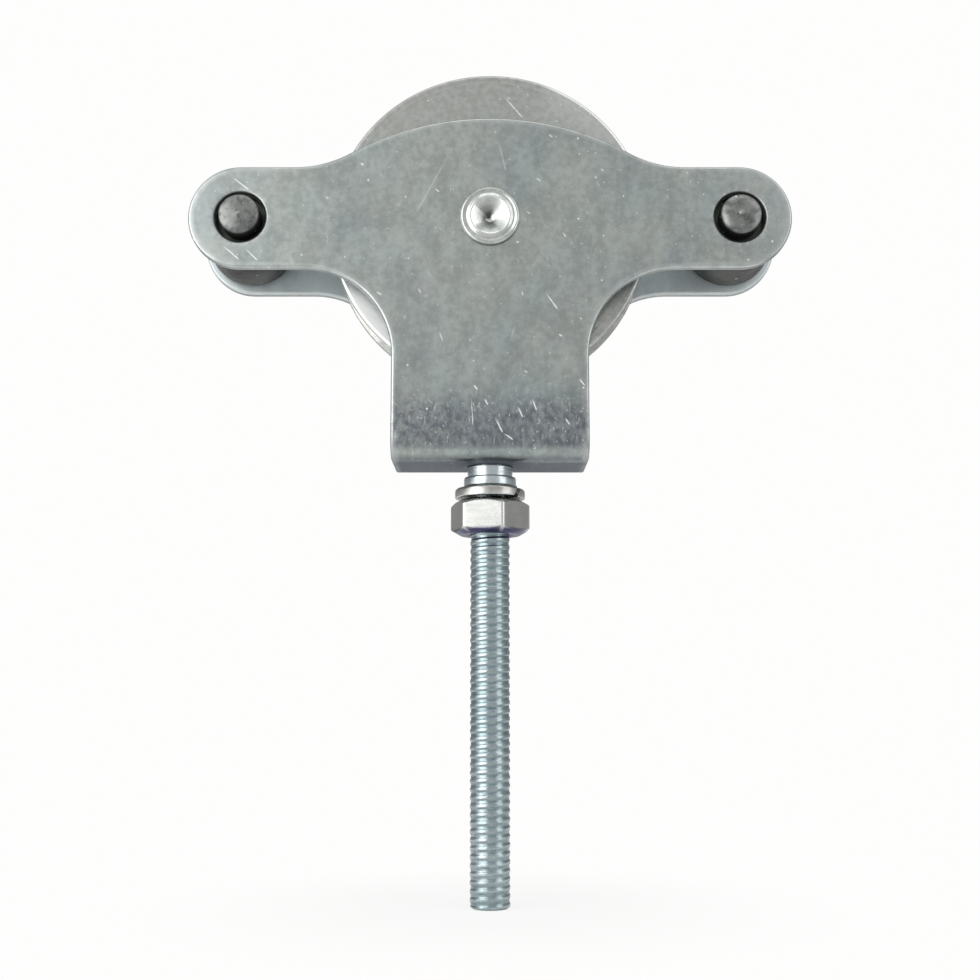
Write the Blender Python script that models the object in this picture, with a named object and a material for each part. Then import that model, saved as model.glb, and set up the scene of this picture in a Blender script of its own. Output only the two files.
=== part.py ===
"""Clothesline pulley: a grooved sheave in a folded steel fork, with two guide rollers and a threaded stem.

Metres, +Z up. The stem runs down -Z and the sheave turns about Y, in the middle of the fork.
The origin lies on the stem's axis, in the plane where its shoulder bears on what carries it.
"""

import math

import bmesh
import bpy
import numpy as np
from mathutils import Matrix, Vector

# Clearances
SEAT_GAP = 0.00015  # between faces that bear on each other and stay still
FIT_GAP = 0.0001  # radial, round a shank that is fixed in its hole
RUN_GAP = 0.00006  # radial, between a bore and the shaft that it turns on
SIDE_GAP = 0.0004  # end play on each side of what turns between the cheeks
JOURNAL_PLAY = 0.0008  # radial, the loose fit of a roller's journal in its hole

# Threaded stem, quarter inch with 20 turns to the inch
THREAD_DIAMETER = 0.00635
THREAD_PITCH = 0.00127
STEM_LENGTH = 0.0648  # from the shoulder's underside to the tip
SHOULDER_DIAMETER = 0.0083
SHOULDER_HEIGHT = 0.00155
STEP_DIAMETER = 0.0074  # the narrower ring that bears on the fork's base
STEP_HEIGHT = 0.0016
TENON_DIAMETER = 0.0062  # passes through the base
PEEN_DIAMETER = 0.0100  # riveted head inside the fork
PEEN_HEIGHT = 0.0020

# Fork, folded from one sheet
SHEET = 0.0019
FORK_DEPTH = 0.0173  # over both cheeks
BEND_RADIUS = 0.0034  # outside of the fold
NECK_WIDTH = 0.0307
NECK_FILLET = 0.0140
ARM_HALF_WIDTH = 0.0082  # also the radius of the arms' round ends
ARM_FLAT = 0.0084  # straight top edge, from the roller's axis inwards
CROWN_LIFT = 0.0081  # the crown's top above the arms' top edges
CROWN_FILLET = 0.0180
EDGE_ROUND = 0.00045  # rounding of the punched edges

# Sheave
SHEAVE_DIAMETER = 0.0508
RIM_WIDTH = 0.0084
RIM_EDGE = 0.0009  # flat lip on each side of the groove's mouth
GROOVE_DEPTH = 0.0050
GROOVE_RADIUS = 0.0025  # round bottom that the line lies in
RIM_BACK = 0.0026  # metal between the groove's bottom and the side recess
WEB_THICKNESS = 0.0044
HUB_DIAMETER = 0.0170

# Room that the line needs
LINE_GAP = 0.0067  # between the sheave's rim and each roller
THROAT = 0.0112  # between the base's inner face and the sheave's rim

# Axle: a riveted pin in a spacer sleeve
AXLE_DIAMETER = 0.0071
SLEEVE_WALL = 0.0014
CLENCH_DIAMETER = 0.0094  # rolled rim on the front cheek
CLENCH_HEIGHT = 0.0008
CLENCH_ROLL = 0.0005  # rounding of the rim's outer edge
LIP_ROUND = 0.0003  # rounding between the rim and the dimple
DIMPLE_DIAMETER = 0.0059
DIMPLE_DEPTH = 0.0019
RIVET_HEAD_DIAMETER = 0.0119  # low dome on the rear cheek
RIVET_HEAD_HEIGHT = 0.0016

# Guide rollers with their own journals
ROLLER_DIAMETER = 0.0144
ROLLER_CHAMFER = 0.0009
JOURNAL_DIAMETER = 0.00635
JOURNAL_PROUD = 0.0020  # stands out past the cheek
JOURNAL_DOME = 0.0006
PIP_DIAMETER = 0.0009  # turning centre left on the end
PIP_HEIGHT = 0.00015

# Hex nut and split spring washer
NUT_WIDTH = 0.01111  # across the flats
NUT_HEIGHT = 0.00556
NUT_TURN = math.radians(18.7)  # how far one corner stands round from the front
WASHER_DIAMETER = 0.0111
WASHER_THICKNESS = 0.00157
WASHER_RISE = 0.00022  # how far one end of the split ring stands above the other
WASHER_SPLIT = math.radians(9.0)
WASHER_SLANT = math.radians(10.0)  # how far the cut leans round the ring over its thickness
WASHER_CUT_AT = math.radians(-38.0)  # middle of the split, turned from +X

# Smoothness of round forms
FINE_SIDES = 72
ROUND_SIDES = 40
SMALL_SIDES = 28
FOLD_STEPS = 5
SMOOTH_ANGLE = math.radians(32.0)
MERGE = 1e-7

# Sizes that follow from the ones above
SHEAVE_RADIUS = SHEAVE_DIAMETER / 2
ROLLER_RADIUS = ROLLER_DIAMETER / 2
ARM_REACH = SHEAVE_RADIUS + LINE_GAP + ROLLER_RADIUS
BASE_UNDERSIDE = SHOULDER_HEIGHT + STEP_HEIGHT + SEAT_GAP
BASE_FLOOR = BASE_UNDERSIDE + SHEET
AXLE_HEIGHT = BASE_FLOOR + THROAT + SHEAVE_RADIUS
OUTER_FACE = FORK_DEPTH / 2
INNER_FACE = OUTER_FACE - SHEET
AXLE_RADIUS = AXLE_DIAMETER / 2
SLEEVE_BORE = AXLE_RADIUS + FIT_GAP
SLEEVE_RADIUS = SLEEVE_BORE + SLEEVE_WALL
JOURNAL_RADIUS = JOURNAL_DIAMETER / 2
THREAD_RADIUS = THREAD_DIAMETER / 2
THREAD_DEPTH = 0.6134 * THREAD_PITCH

AXLE_TURN = (math.pi / 2, 0.0, 0.0)  # lays a turned piece's axis along Y, its top to the front


def clear_scene():
    """Remove the objects that a new scene holds."""
    for obj in list(bpy.data.objects):
        bpy.data.objects.remove(obj, do_unlink=True)


def metal(name, colour, roughness, metallic=1.0):
    """Return a Principled material."""
    material = bpy.data.materials.new(name)
    material.use_nodes = True
    shader = material.node_tree.nodes["Principled BSDF"]
    shader.inputs["Base Color"].default_value = (*colour, 1.0)
    shader.inputs["Roughness"].default_value = roughness
    shader.inputs["Metallic"].default_value = metallic
    return material


def add_object(name, bm, material, parent=None, location=(0.0, 0.0, 0.0), rotation=(0.0, 0.0, 0.0)):
    """Turn a bmesh into a smooth-shaded object with outward faces."""
    bmesh.ops.recalc_face_normals(bm, faces=bm.faces[:])
    if bm.calc_volume(signed=True) < 0.0:
        bmesh.ops.reverse_faces(bm, faces=bm.faces[:])
    mesh = bpy.data.meshes.new(name)
    bm.to_mesh(mesh)
    bm.free()
    mesh.materials.append(material)
    mesh.shade_smooth()
    mesh.set_sharp_from_angle(angle=SMOOTH_ANGLE)
    obj = bpy.data.objects.new(name, mesh)
    bpy.context.collection.objects.link(obj)
    obj.parent = parent
    obj.location = location
    obj.rotation_euler = rotation
    return obj


def add_empty(name, location, rotation):
    """Place a line that pieces turn about."""
    empty = bpy.data.objects.new(name, None)
    empty.empty_display_size = AXLE_DIAMETER
    empty.location = location
    empty.rotation_euler = rotation
    bpy.context.collection.objects.link(empty)
    return empty


def arc(centre, radius, start, end, steps):
    """Points along an arc, both ends included, with angles in radians."""
    turns = np.linspace(start, end, steps + 1)
    return [(centre[0] + radius * math.cos(turn), centre[1] + radius * math.sin(turn)) for turn in turns]


def turned(profile, sides, closed):
    """Spin a profile of (radius, height) points about Z. A closed profile makes a ring."""
    bm = bmesh.new()
    points = [bm.verts.new((radius, 0.0, height)) for radius, height in profile]
    edges = [bm.edges.new(pair) for pair in zip(points, points[1:])]
    if closed:
        edges.append(bm.edges.new((points[-1], points[0])))
    bmesh.ops.spin(
        bm,
        geom=points + edges,
        cent=(0.0, 0.0, 0.0),
        axis=(0.0, 0.0, 1.0),
        angle=math.tau,
        steps=sides,
        use_merge=True,
    )
    bmesh.ops.remove_doubles(bm, verts=bm.verts[:], dist=MERGE)
    return bm


def cheek_outline():
    """Right half of one cheek, from the neck's side up to the crown's top, as (across, up from the axle)."""
    half_neck = NECK_WIDTH / 2
    neck_turn = (half_neck + NECK_FILLET, -ARM_HALF_WIDTH - NECK_FILLET)
    shoulder_x = ARM_REACH - ARM_FLAT
    centres = (shoulder_x**2 + CROWN_LIFT**2) / (2 * CROWN_LIFT)
    crown_radius = centres - CROWN_FILLET
    crown_centre = (0.0, ARM_HALF_WIDTH + CROWN_LIFT - crown_radius)
    fillet_centre = (shoulder_x, ARM_HALF_WIDTH + CROWN_FILLET)
    lean = math.atan2(fillet_centre[1] - crown_centre[1], shoulder_x)
    outline = arc(neck_turn, NECK_FILLET, math.pi, math.pi / 2, 8)
    outline += arc((ARM_REACH, 0.0), ARM_HALF_WIDTH, -math.pi / 2, math.pi / 2, 16)
    outline += arc(fillet_centre, CROWN_FILLET, -math.pi / 2, lean - math.pi, 6)
    outline += arc(crown_centre, crown_radius, lean, math.pi / 2, 8)[1:]
    return outline


def blank_loops(flat_of_axle):
    """The flat blank's outer loop, anticlockwise, and the loops of its punched holes."""
    right = [(x, rise + flat_of_axle) for x, rise in cheek_outline()]
    left = [(-x, along) for x, along in reversed(right[:-1])]
    rear = right + left
    front = [(-x, -along) for x, along in rear]
    holes = [arc((0.0, 0.0), TENON_DIAMETER / 2 + FIT_GAP, 0.0, math.tau, SMALL_SIDES)[:-1]]
    for side in (-1, 1):
        along = side * flat_of_axle
        holes.append(arc((0.0, along), AXLE_RADIUS + FIT_GAP, 0.0, math.tau, SMALL_SIDES)[:-1])
        for x in (-ARM_REACH, ARM_REACH):
            holes.append(arc((x, along), JOURNAL_RADIUS + JOURNAL_PLAY, 0.0, math.tau, SMALL_SIDES)[:-1])
    return rear + front, holes


def moved_inwards(loop, distance, outer):
    """Shift each point of a loop into the sheet, square to the edges that meet there."""
    points = np.array(loop)
    before = points - np.roll(points, 1, axis=0)
    after = np.roll(points, -1, axis=0) - points
    before /= np.linalg.norm(before, axis=1)[:, None]
    after /= np.linalg.norm(after, axis=1)[:, None]
    first = np.stack((-before[:, 1], before[:, 0]), axis=1)
    second = np.stack((-after[:, 1], after[:, 0]), axis=1)
    mitre = (first + second) / (1.0 + np.sum(first * second, axis=1))[:, None]
    return points + mitre * (distance if outer else -distance)


def edge_section():
    """Rounded edge of the sheet, as (inset from the punched line, height in the thickness)."""
    half = SHEET / 2
    upper = arc((EDGE_ROUND, half - EDGE_ROUND), EDGE_ROUND, math.pi / 2, math.pi, 2)
    lower = [(inset, -height) for inset, height in reversed(upper)]
    return upper + lower


def flat_blank(flat_of_axle):
    """The punched blank as a closed plate, lying flat, with rounded edges."""
    bm = bmesh.new()
    outer, holes = blank_loops(flat_of_axle)
    section = edge_section()
    rims = ([], [])
    for loop, is_outer in [(outer, True)] + [(hole, False) for hole in holes]:
        rings = []
        for inset, height in section:
            places = moved_inwards(loop, inset, is_outer)
            rings.append([bm.verts.new((x, y, height)) for x, y in places])
        for upper, lower in zip(rings, rings[1:]):
            count = len(upper)
            for index in range(count):
                following = (index + 1) % count
                bm.faces.new((upper[index], lower[index], lower[following], upper[following]))
        for rim, ring in zip(rims, (rings[0], rings[-1])):
            rim.extend(bm.edges.get((ring[index - 1], ring[index])) for index in range(len(ring)))
    for rim in rims:
        bmesh.ops.triangle_fill(bm, use_beauty=True, use_dissolve=False, edges=rim)
    return bm


def fold(bm, flat_half, neutral_radius):
    """Bend the flat blank into a U: base on the stem, a quarter turn, and an upright cheek on each side."""
    quarter = neutral_radius * math.pi / 2
    for side in (-1, 1):
        for step in range(FOLD_STEPS + 1):
            line = side * (flat_half + quarter * step / FOLD_STEPS)
            geometry = bm.verts[:] + bm.edges[:] + bm.faces[:]
            bmesh.ops.bisect_plane(
                bm, geom=geometry, dist=MERGE, plane_co=(0.0, line, 0.0), plane_no=(0.0, 1.0, 0.0)
            )
    middle = BASE_UNDERSIDE + SHEET / 2
    for vert in bm.verts:
        x, along, height = vert.co
        side = 1.0 if along >= 0.0 else -1.0
        run = abs(along)
        turn = min(max((run - flat_half) / neutral_radius, 0.0), math.pi / 2)
        reach = neutral_radius - height
        depth = min(run, flat_half) + reach * math.sin(turn)
        rise = neutral_radius - reach * math.cos(turn) + max(run - flat_half - quarter, 0.0)
        vert.co = Vector((x, side * depth, middle + rise))


def build_fork(material):
    """One folded sheet: two T-shaped cheeks with a domed crown and round arm ends, and the base."""
    flat_half = OUTER_FACE - BEND_RADIUS
    neutral_radius = BEND_RADIUS - SHEET / 2
    fold_top = BASE_UNDERSIDE + BEND_RADIUS
    flat_of_axle = flat_half + neutral_radius * math.pi / 2 + AXLE_HEIGHT - fold_top
    bm = flat_blank(flat_of_axle)
    fold(bm, flat_half, neutral_radius)
    return add_object("fork_bracket", bm, material)


def build_stem(material):
    """Shouldered stem: thread, shoulder ring, step, tenon through the base and riveted head."""
    neck = THREAD_RADIUS - THREAD_DEPTH
    head_seat = BASE_FLOOR + SEAT_GAP
    head_top = head_seat + PEEN_HEIGHT
    head_radius = PEEN_DIAMETER / 2
    bevel = 0.18 * SHOULDER_HEIGHT
    profile = [
        (0.0, -STEM_LENGTH),
        (neck, -STEM_LENGTH),
        (THREAD_RADIUS, -STEM_LENGTH + THREAD_DEPTH),
        (THREAD_RADIUS, 0.0),
        (SHOULDER_DIAMETER / 2 - bevel, 0.0),
        (SHOULDER_DIAMETER / 2, bevel),
        (SHOULDER_DIAMETER / 2, SHOULDER_HEIGHT - bevel),
        (SHOULDER_DIAMETER / 2 - bevel, SHOULDER_HEIGHT),
        (STEP_DIAMETER / 2, SHOULDER_HEIGHT),
        (STEP_DIAMETER / 2, SHOULDER_HEIGHT + STEP_HEIGHT),
        (TENON_DIAMETER / 2, SHOULDER_HEIGHT + STEP_HEIGHT),
        (TENON_DIAMETER / 2, head_seat),
        (head_radius, head_seat),
    ]
    dome = [
        (head_radius * math.cos(turn), head_seat + PEEN_HEIGHT * (0.3 + 0.7 * math.sin(turn)))
        for turn in np.linspace(0.0, math.pi / 2, 6)[:-1]
    ]
    profile += dome + [(0.0, head_top)]
    return add_object("stem_stud", turned(profile, ROUND_SIDES, closed=False), material)


def build_sheave(material, parent):
    """Grooved wheel: flat rim faces, recessed web and a hub that spaces it from the cheeks."""
    half_rim = RIM_WIDTH / 2
    half_web = WEB_THICKNESS / 2
    half_hub = INNER_FACE - SIDE_GAP
    bore = SLEEVE_RADIUS + RUN_GAP
    hub = HUB_DIAMETER / 2
    mouth = half_rim - RIM_EDGE
    groove_centre = SHEAVE_RADIUS - GROOVE_DEPTH + GROOVE_RADIUS
    rim_foot = SHEAVE_RADIUS - GROOVE_DEPTH - RIM_BACK
    soft = 0.35 * RIM_EDGE
    recess = half_rim - half_web
    upper = [
        (bore + soft, half_hub),
        (hub, half_hub),
        (hub + recess * 0.25, half_web + recess * 0.5),
        (hub + recess * 0.75, half_web),
        (rim_foot - recess * 0.75, half_web),
        (rim_foot, half_rim - soft),
        (rim_foot + soft, half_rim),
        (SHEAVE_RADIUS - soft, half_rim),
        (SHEAVE_RADIUS, half_rim - soft),
        (SHEAVE_RADIUS, mouth),
    ]
    bottom = arc((groove_centre, 0.0), GROOVE_RADIUS, math.pi / 2, math.pi * 1.5, 6)
    lower = [(radius, -height) for radius, height in reversed(upper)]
    profile = upper + bottom + lower + [(bore, soft - half_hub), (bore, half_hub - soft)]
    bm = turned(profile, FINE_SIDES, closed=True)
    return add_object("sheave", bm, material, parent)


def build_axle(material, parent):
    """Riveted pin: rolled rim that slopes up to a conical dimple at the front, low domed head at the rear."""
    seat = OUTER_FACE + SEAT_GAP
    lip_centre = (DIMPLE_DIAMETER / 2 + LIP_ROUND, seat + CLENCH_HEIGHT - LIP_ROUND)
    roll_centre = (CLENCH_DIAMETER / 2 - CLENCH_ROLL, seat)
    lip = arc(lip_centre, LIP_ROUND, math.radians(120.0), math.radians(75.0), 2)
    lip += arc(roll_centre, CLENCH_ROLL, math.radians(75.0), 0.0, 3)
    head_radius = RIVET_HEAD_DIAMETER / 2
    head = [
        (head_radius * math.cos(turn), -seat - RIVET_HEAD_HEIGHT * (0.25 + 0.75 * math.sin(turn)))
        for turn in np.linspace(0.0, math.pi / 2, 6)
    ]
    dimple_floor = (0.0, seat + CLENCH_HEIGHT - DIMPLE_DEPTH)
    shank = [(AXLE_RADIUS, seat), (AXLE_RADIUS, -seat), (head_radius, -seat)]
    tip = [(0.0, -seat - RIVET_HEAD_HEIGHT)]
    profile = [dimple_floor] + lip + shank + head[:-1] + tip
    bm = turned(profile, ROUND_SIDES, closed=False)
    return add_object("axle_rivet", bm, material, parent)


def build_sleeve(material, parent):
    """Spacer tube on the pin: it holds the cheeks apart, and the sheave turns on it."""
    half = INNER_FACE - SEAT_GAP
    profile = [(SLEEVE_BORE, half), (SLEEVE_RADIUS, half), (SLEEVE_RADIUS, -half), (SLEEVE_BORE, -half)]
    bm = turned(profile, ROUND_SIDES, closed=True)
    return add_object("axle_sleeve", bm, material, parent)


def build_roller(name, material, parent):
    """Guide roller with journals that stand out through the cheeks and end in a low dome."""
    half = INNER_FACE - SIDE_GAP
    end = OUTER_FACE + JOURNAL_PROUD
    pip = PIP_DIAMETER / 2
    dome = [
        (JOURNAL_RADIUS * math.sin(turn), end - JOURNAL_DOME * (1.0 - math.cos(turn)))
        for turn in np.linspace(math.asin(pip / JOURNAL_RADIUS), math.pi / 2, 5)
    ]
    upper = [(0.0, end + PIP_HEIGHT), (0.6 * pip, end + 0.8 * PIP_HEIGHT)] + dome
    upper += [
        (JOURNAL_RADIUS, half),
        (ROLLER_RADIUS - ROLLER_CHAMFER, half),
        (ROLLER_RADIUS - 0.3 * ROLLER_CHAMFER, half - 0.3 * ROLLER_CHAMFER),
        (ROLLER_RADIUS, half - ROLLER_CHAMFER),
    ]
    lower = [(radius, -height) for radius, height in reversed(upper)]
    bm = turned(upper + lower, SMALL_SIDES, closed=False)
    return add_object(name, bm, material, parent)


def build_washer(material):
    """Split spring washer: a flat ring that climbs a little round its turn, with slanted cut ends."""
    inner = THREAD_RADIUS + FIT_GAP
    outer = WASHER_DIAMETER / 2
    top = -SEAT_GAP
    soft = 0.12 * WASHER_THICKNESS
    section = [
        (inner, 0.0),
        (inner, WASHER_THICKNESS),
        (outer - soft, WASHER_THICKNESS),
        (outer, WASHER_THICKNESS - soft),
        (outer, soft),
        (outer - soft, 0.0),
    ]
    steps = ROUND_SIDES
    sweep = math.tau - WASHER_SPLIT
    low = top - WASHER_THICKNESS - WASHER_RISE
    bm = bmesh.new()
    rings = []
    for step in range(steps + 1):
        share = step / steps
        ring = []
        for radius, height in section:
            turn = WASHER_CUT_AT + WASHER_SPLIT / 2 + sweep * share
            turn += WASHER_SLANT * (height / WASHER_THICKNESS - 0.5)
            place = (radius * math.cos(turn), radius * math.sin(turn), low + WASHER_RISE * share + height)
            ring.append(bm.verts.new(place))
        rings.append(ring)
    count = len(section)
    for lower, upper in zip(rings, rings[1:]):
        for index in range(count):
            following = (index + 1) % count
            bm.faces.new((lower[index], lower[following], upper[following], upper[index]))
    bm.faces.new(rings[0])
    bm.faces.new(rings[-1])
    return add_object("spring_washer", bm, material)


def build_nut(material):
    """Hex nut: a six-sided bar, its corners turned off at both ends, with a countersunk bore."""
    top = -2 * SEAT_GAP - WASHER_THICKNESS - WASHER_RISE
    across_corners = NUT_WIDTH / math.sqrt(3.0)
    middle = top - NUT_HEIGHT / 2
    bar = bmesh.new()
    bmesh.ops.create_cone(
        bar,
        cap_ends=True,
        segments=6,
        radius1=across_corners,
        radius2=across_corners,
        depth=NUT_HEIGHT,
    )
    bmesh.ops.rotate(bar, verts=bar.verts[:], cent=(0.0, 0.0, 0.0), matrix=Matrix.Rotation(NUT_TURN, 3, "Z"))
    nut = add_object("hex_nut", bar, material, None, (0.0, 0.0, middle), (0.0, 0.0, -math.pi / 2))

    half = NUT_HEIGHT / 2
    face = 0.485 * NUT_WIDTH
    slope = math.tan(math.radians(30.0))
    reach = across_corners * 1.2
    drop = (reach - face) * slope
    spindle = [(0.0, half), (face, half), (reach, half - drop), (reach, drop - half), (face, -half), (0.0, -half)]
    turning = add_object("nut_turning", turned(spindle, ROUND_SIDES, closed=False), material, nut)
    bore = THREAD_RADIUS + RUN_GAP
    sink = THREAD_DEPTH * 0.6
    over = 0.25 * half
    drill = [
        (0.0, half + over),
        (bore + sink + over, half + over),
        (bore + sink, half),
        (bore, half - sink),
        (bore, sink - half),
        (bore + sink, -half),
        (bore + sink + over, -half - over),
        (0.0, -half - over),
    ]
    drilling = add_object("nut_drilling", turned(drill, ROUND_SIDES, closed=False), material, nut)
    for cutter, operation in ((turning, "INTERSECT"), (drilling, "DIFFERENCE")):
        cutter.hide_render = True
        cutter.display_type = "WIRE"
        cut = nut.modifiers.new(cutter.name, "BOOLEAN")
        cut.operation = operation
        cut.solver = "EXACT"
        cut.object = cutter
    return nut


def main():
    clear_scene()
    plated = metal("zinc_plate", (0.52, 0.55, 0.53), 0.38)
    sheave_metal = metal("sheave_zinc", (0.58, 0.58, 0.56), 0.42)
    rivet_metal = metal("rivet_zinc", (0.66, 0.67, 0.66), 0.24)
    sleeve_metal = metal("sleeve_steel", (0.45, 0.45, 0.45), 0.35)
    dark_steel = metal("dark_steel", (0.12, 0.12, 0.115), 0.45)
    stem_metal = metal("stem_zinc", (0.55, 0.61, 0.63), 0.28)
    washer_metal = metal("washer_zinc", (0.56, 0.55, 0.53), 0.35)
    nut_metal = metal("nut_zinc", (0.72, 0.72, 0.71), 0.22)

    build_fork(plated)
    build_stem(stem_metal)

    axle_line = add_empty("axle_line", (0.0, 0.0, AXLE_HEIGHT), AXLE_TURN)
    build_axle(rivet_metal, axle_line)
    build_sleeve(sleeve_metal, axle_line)
    build_sheave(sheave_metal, axle_line)

    left_line = add_empty("left_roller_line", (-ARM_REACH, 0.0, AXLE_HEIGHT), AXLE_TURN)
    right_line = add_empty("right_roller_line", (ARM_REACH, 0.0, AXLE_HEIGHT), AXLE_TURN)
    build_roller("guide_roller_left", dark_steel, left_line)
    build_roller("guide_roller_right", dark_steel, right_line)

    build_washer(washer_metal)
    build_nut(nut_metal)


main()
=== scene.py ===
"""Looks of a clothesline pulley: plated fork, sheave, guide rollers, rivet, threaded stem, washer and nut.

Metres, +Z up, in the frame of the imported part: the stem runs down -Z and the sheave turns about Y. The
patterns of the finishes are in millimetres.
"""

import logging
import math
from collections.abc import Callable, Sequence
from dataclasses import dataclass, field
from enum import Enum

import bmesh
import bpy
import numpy as np
import numpy.typing as npt
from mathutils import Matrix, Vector


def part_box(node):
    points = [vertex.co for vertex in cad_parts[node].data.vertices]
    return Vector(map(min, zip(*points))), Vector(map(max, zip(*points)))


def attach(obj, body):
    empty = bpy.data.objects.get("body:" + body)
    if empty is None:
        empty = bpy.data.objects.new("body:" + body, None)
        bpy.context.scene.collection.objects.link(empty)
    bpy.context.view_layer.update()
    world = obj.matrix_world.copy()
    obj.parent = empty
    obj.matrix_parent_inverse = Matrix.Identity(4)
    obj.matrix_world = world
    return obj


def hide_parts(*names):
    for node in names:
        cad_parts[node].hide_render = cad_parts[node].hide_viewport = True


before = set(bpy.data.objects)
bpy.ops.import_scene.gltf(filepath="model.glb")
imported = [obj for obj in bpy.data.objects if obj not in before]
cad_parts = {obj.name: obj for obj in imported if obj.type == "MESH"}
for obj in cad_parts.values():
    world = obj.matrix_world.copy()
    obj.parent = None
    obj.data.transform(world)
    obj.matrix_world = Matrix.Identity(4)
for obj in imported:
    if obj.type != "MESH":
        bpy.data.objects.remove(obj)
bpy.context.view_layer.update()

log = logging.getLogger("pulley")

Grid = npt.NDArray[np.float64]
Triple = tuple[float, float, float]
Socket = bpy.types.NodeSocket

MM = 0.001
TAU = math.tau
ORIGIN = (0.0, 0.0, 0.0)
# Points that are closer than this, in metres, are one
WELD = 1e-7
# Turns (across, along) over to the other side of the middle
FLIP = np.array((-1.0, 1.0))


class Body(Enum):
    """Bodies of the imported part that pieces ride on."""

    FRAME = "frame"
    SHEAVE = "sheave"
    LEFT_ROLLER = "left_roller"
    RIGHT_ROLLER = "right_roller"
    WASHER = "washer"
    NUT = "nut"


class Axis(Enum):
    """Line that a turned piece is made about."""

    STEM = "stem"
    AXLE = "axle"


class Map(Enum):
    """Coordinates that a finish lays its pattern on."""

    OBJECT = "object"
    CHART = "chart"


class Region(Enum):
    """Part of the fork's blank that a patch is drawn on."""

    FRONT = "front cheek"
    REAR = "rear cheek"
    BASE = "base"


def smooth_step(value: Grid, start: float, end: float) -> Grid:
    """Rise from 0 at start to 1 at end along 3t² - 2t³.

    Args:
        value: Where to read the curve.
        start: Value at which it leaves 0.
        end: Value at which it reaches 1.

    Returns:
        The curve's height for each value.
    """
    share = np.clip((value - start) / (end - start), 0.0, 1.0)
    return share * share * (3.0 - 2.0 * share)


def softened(corners: Sequence[Triple], steps: int, closed: bool = False) -> Grid:
    """Round the corners of a polyline.

    Each corner gives way to the quadratic curve (1-s)²A + 2s(1-s)P + s²B, with A and B on the two edges that
    meet at the corner P, at the corner's own distance from it.

    Args:
        corners: (across, up, distance) of each corner, with distance 0 for a sharp one.
        steps: Stretches in each rounding.
        closed: Whether the last corner joins the first.

    Returns:
        The outline's points, shape (points, 2). A closed outline ends on its first point.
    """
    places = np.array([corner[:2] for corner in corners], float)
    before = np.roll(places, 1, axis=0) - places
    after = np.roll(places, -1, axis=0) - places
    share = np.linspace(0.0, 1.0, steps + 1)[:, None]
    outline = []
    for index, (_, _, distance) in enumerate(corners):
        place = places[index]
        is_end = not closed and index in (0, len(corners) - 1)
        if is_end or distance == 0.0:
            outline.append(place[None, :])
            continue
        start = place + before[index] * distance / np.linalg.norm(before[index])
        end = place + after[index] * distance / np.linalg.norm(after[index])
        outline.append((1 - share) ** 2 * start + 2 * share * (1 - share) * place + share**2 * end)
    if closed:
        outline.append(outline[0][:1])
    return np.concatenate(outline)


def mirror_image(corners: Sequence[Triple]) -> list[Triple]:
    """The corners on the other side of the middle, in the order that carries the outline on."""
    return [(across, -up, distance) for across, up, distance in reversed(corners)]


def round_stem(radius: Grid, turn: Grid, height: Grid) -> Grid:
    """Points about the stem's axis, at radius·(cos t, sin t) and their height."""
    return np.stack(np.broadcast_arrays(radius * np.cos(turn), radius * np.sin(turn), height), axis=-1)


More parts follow.
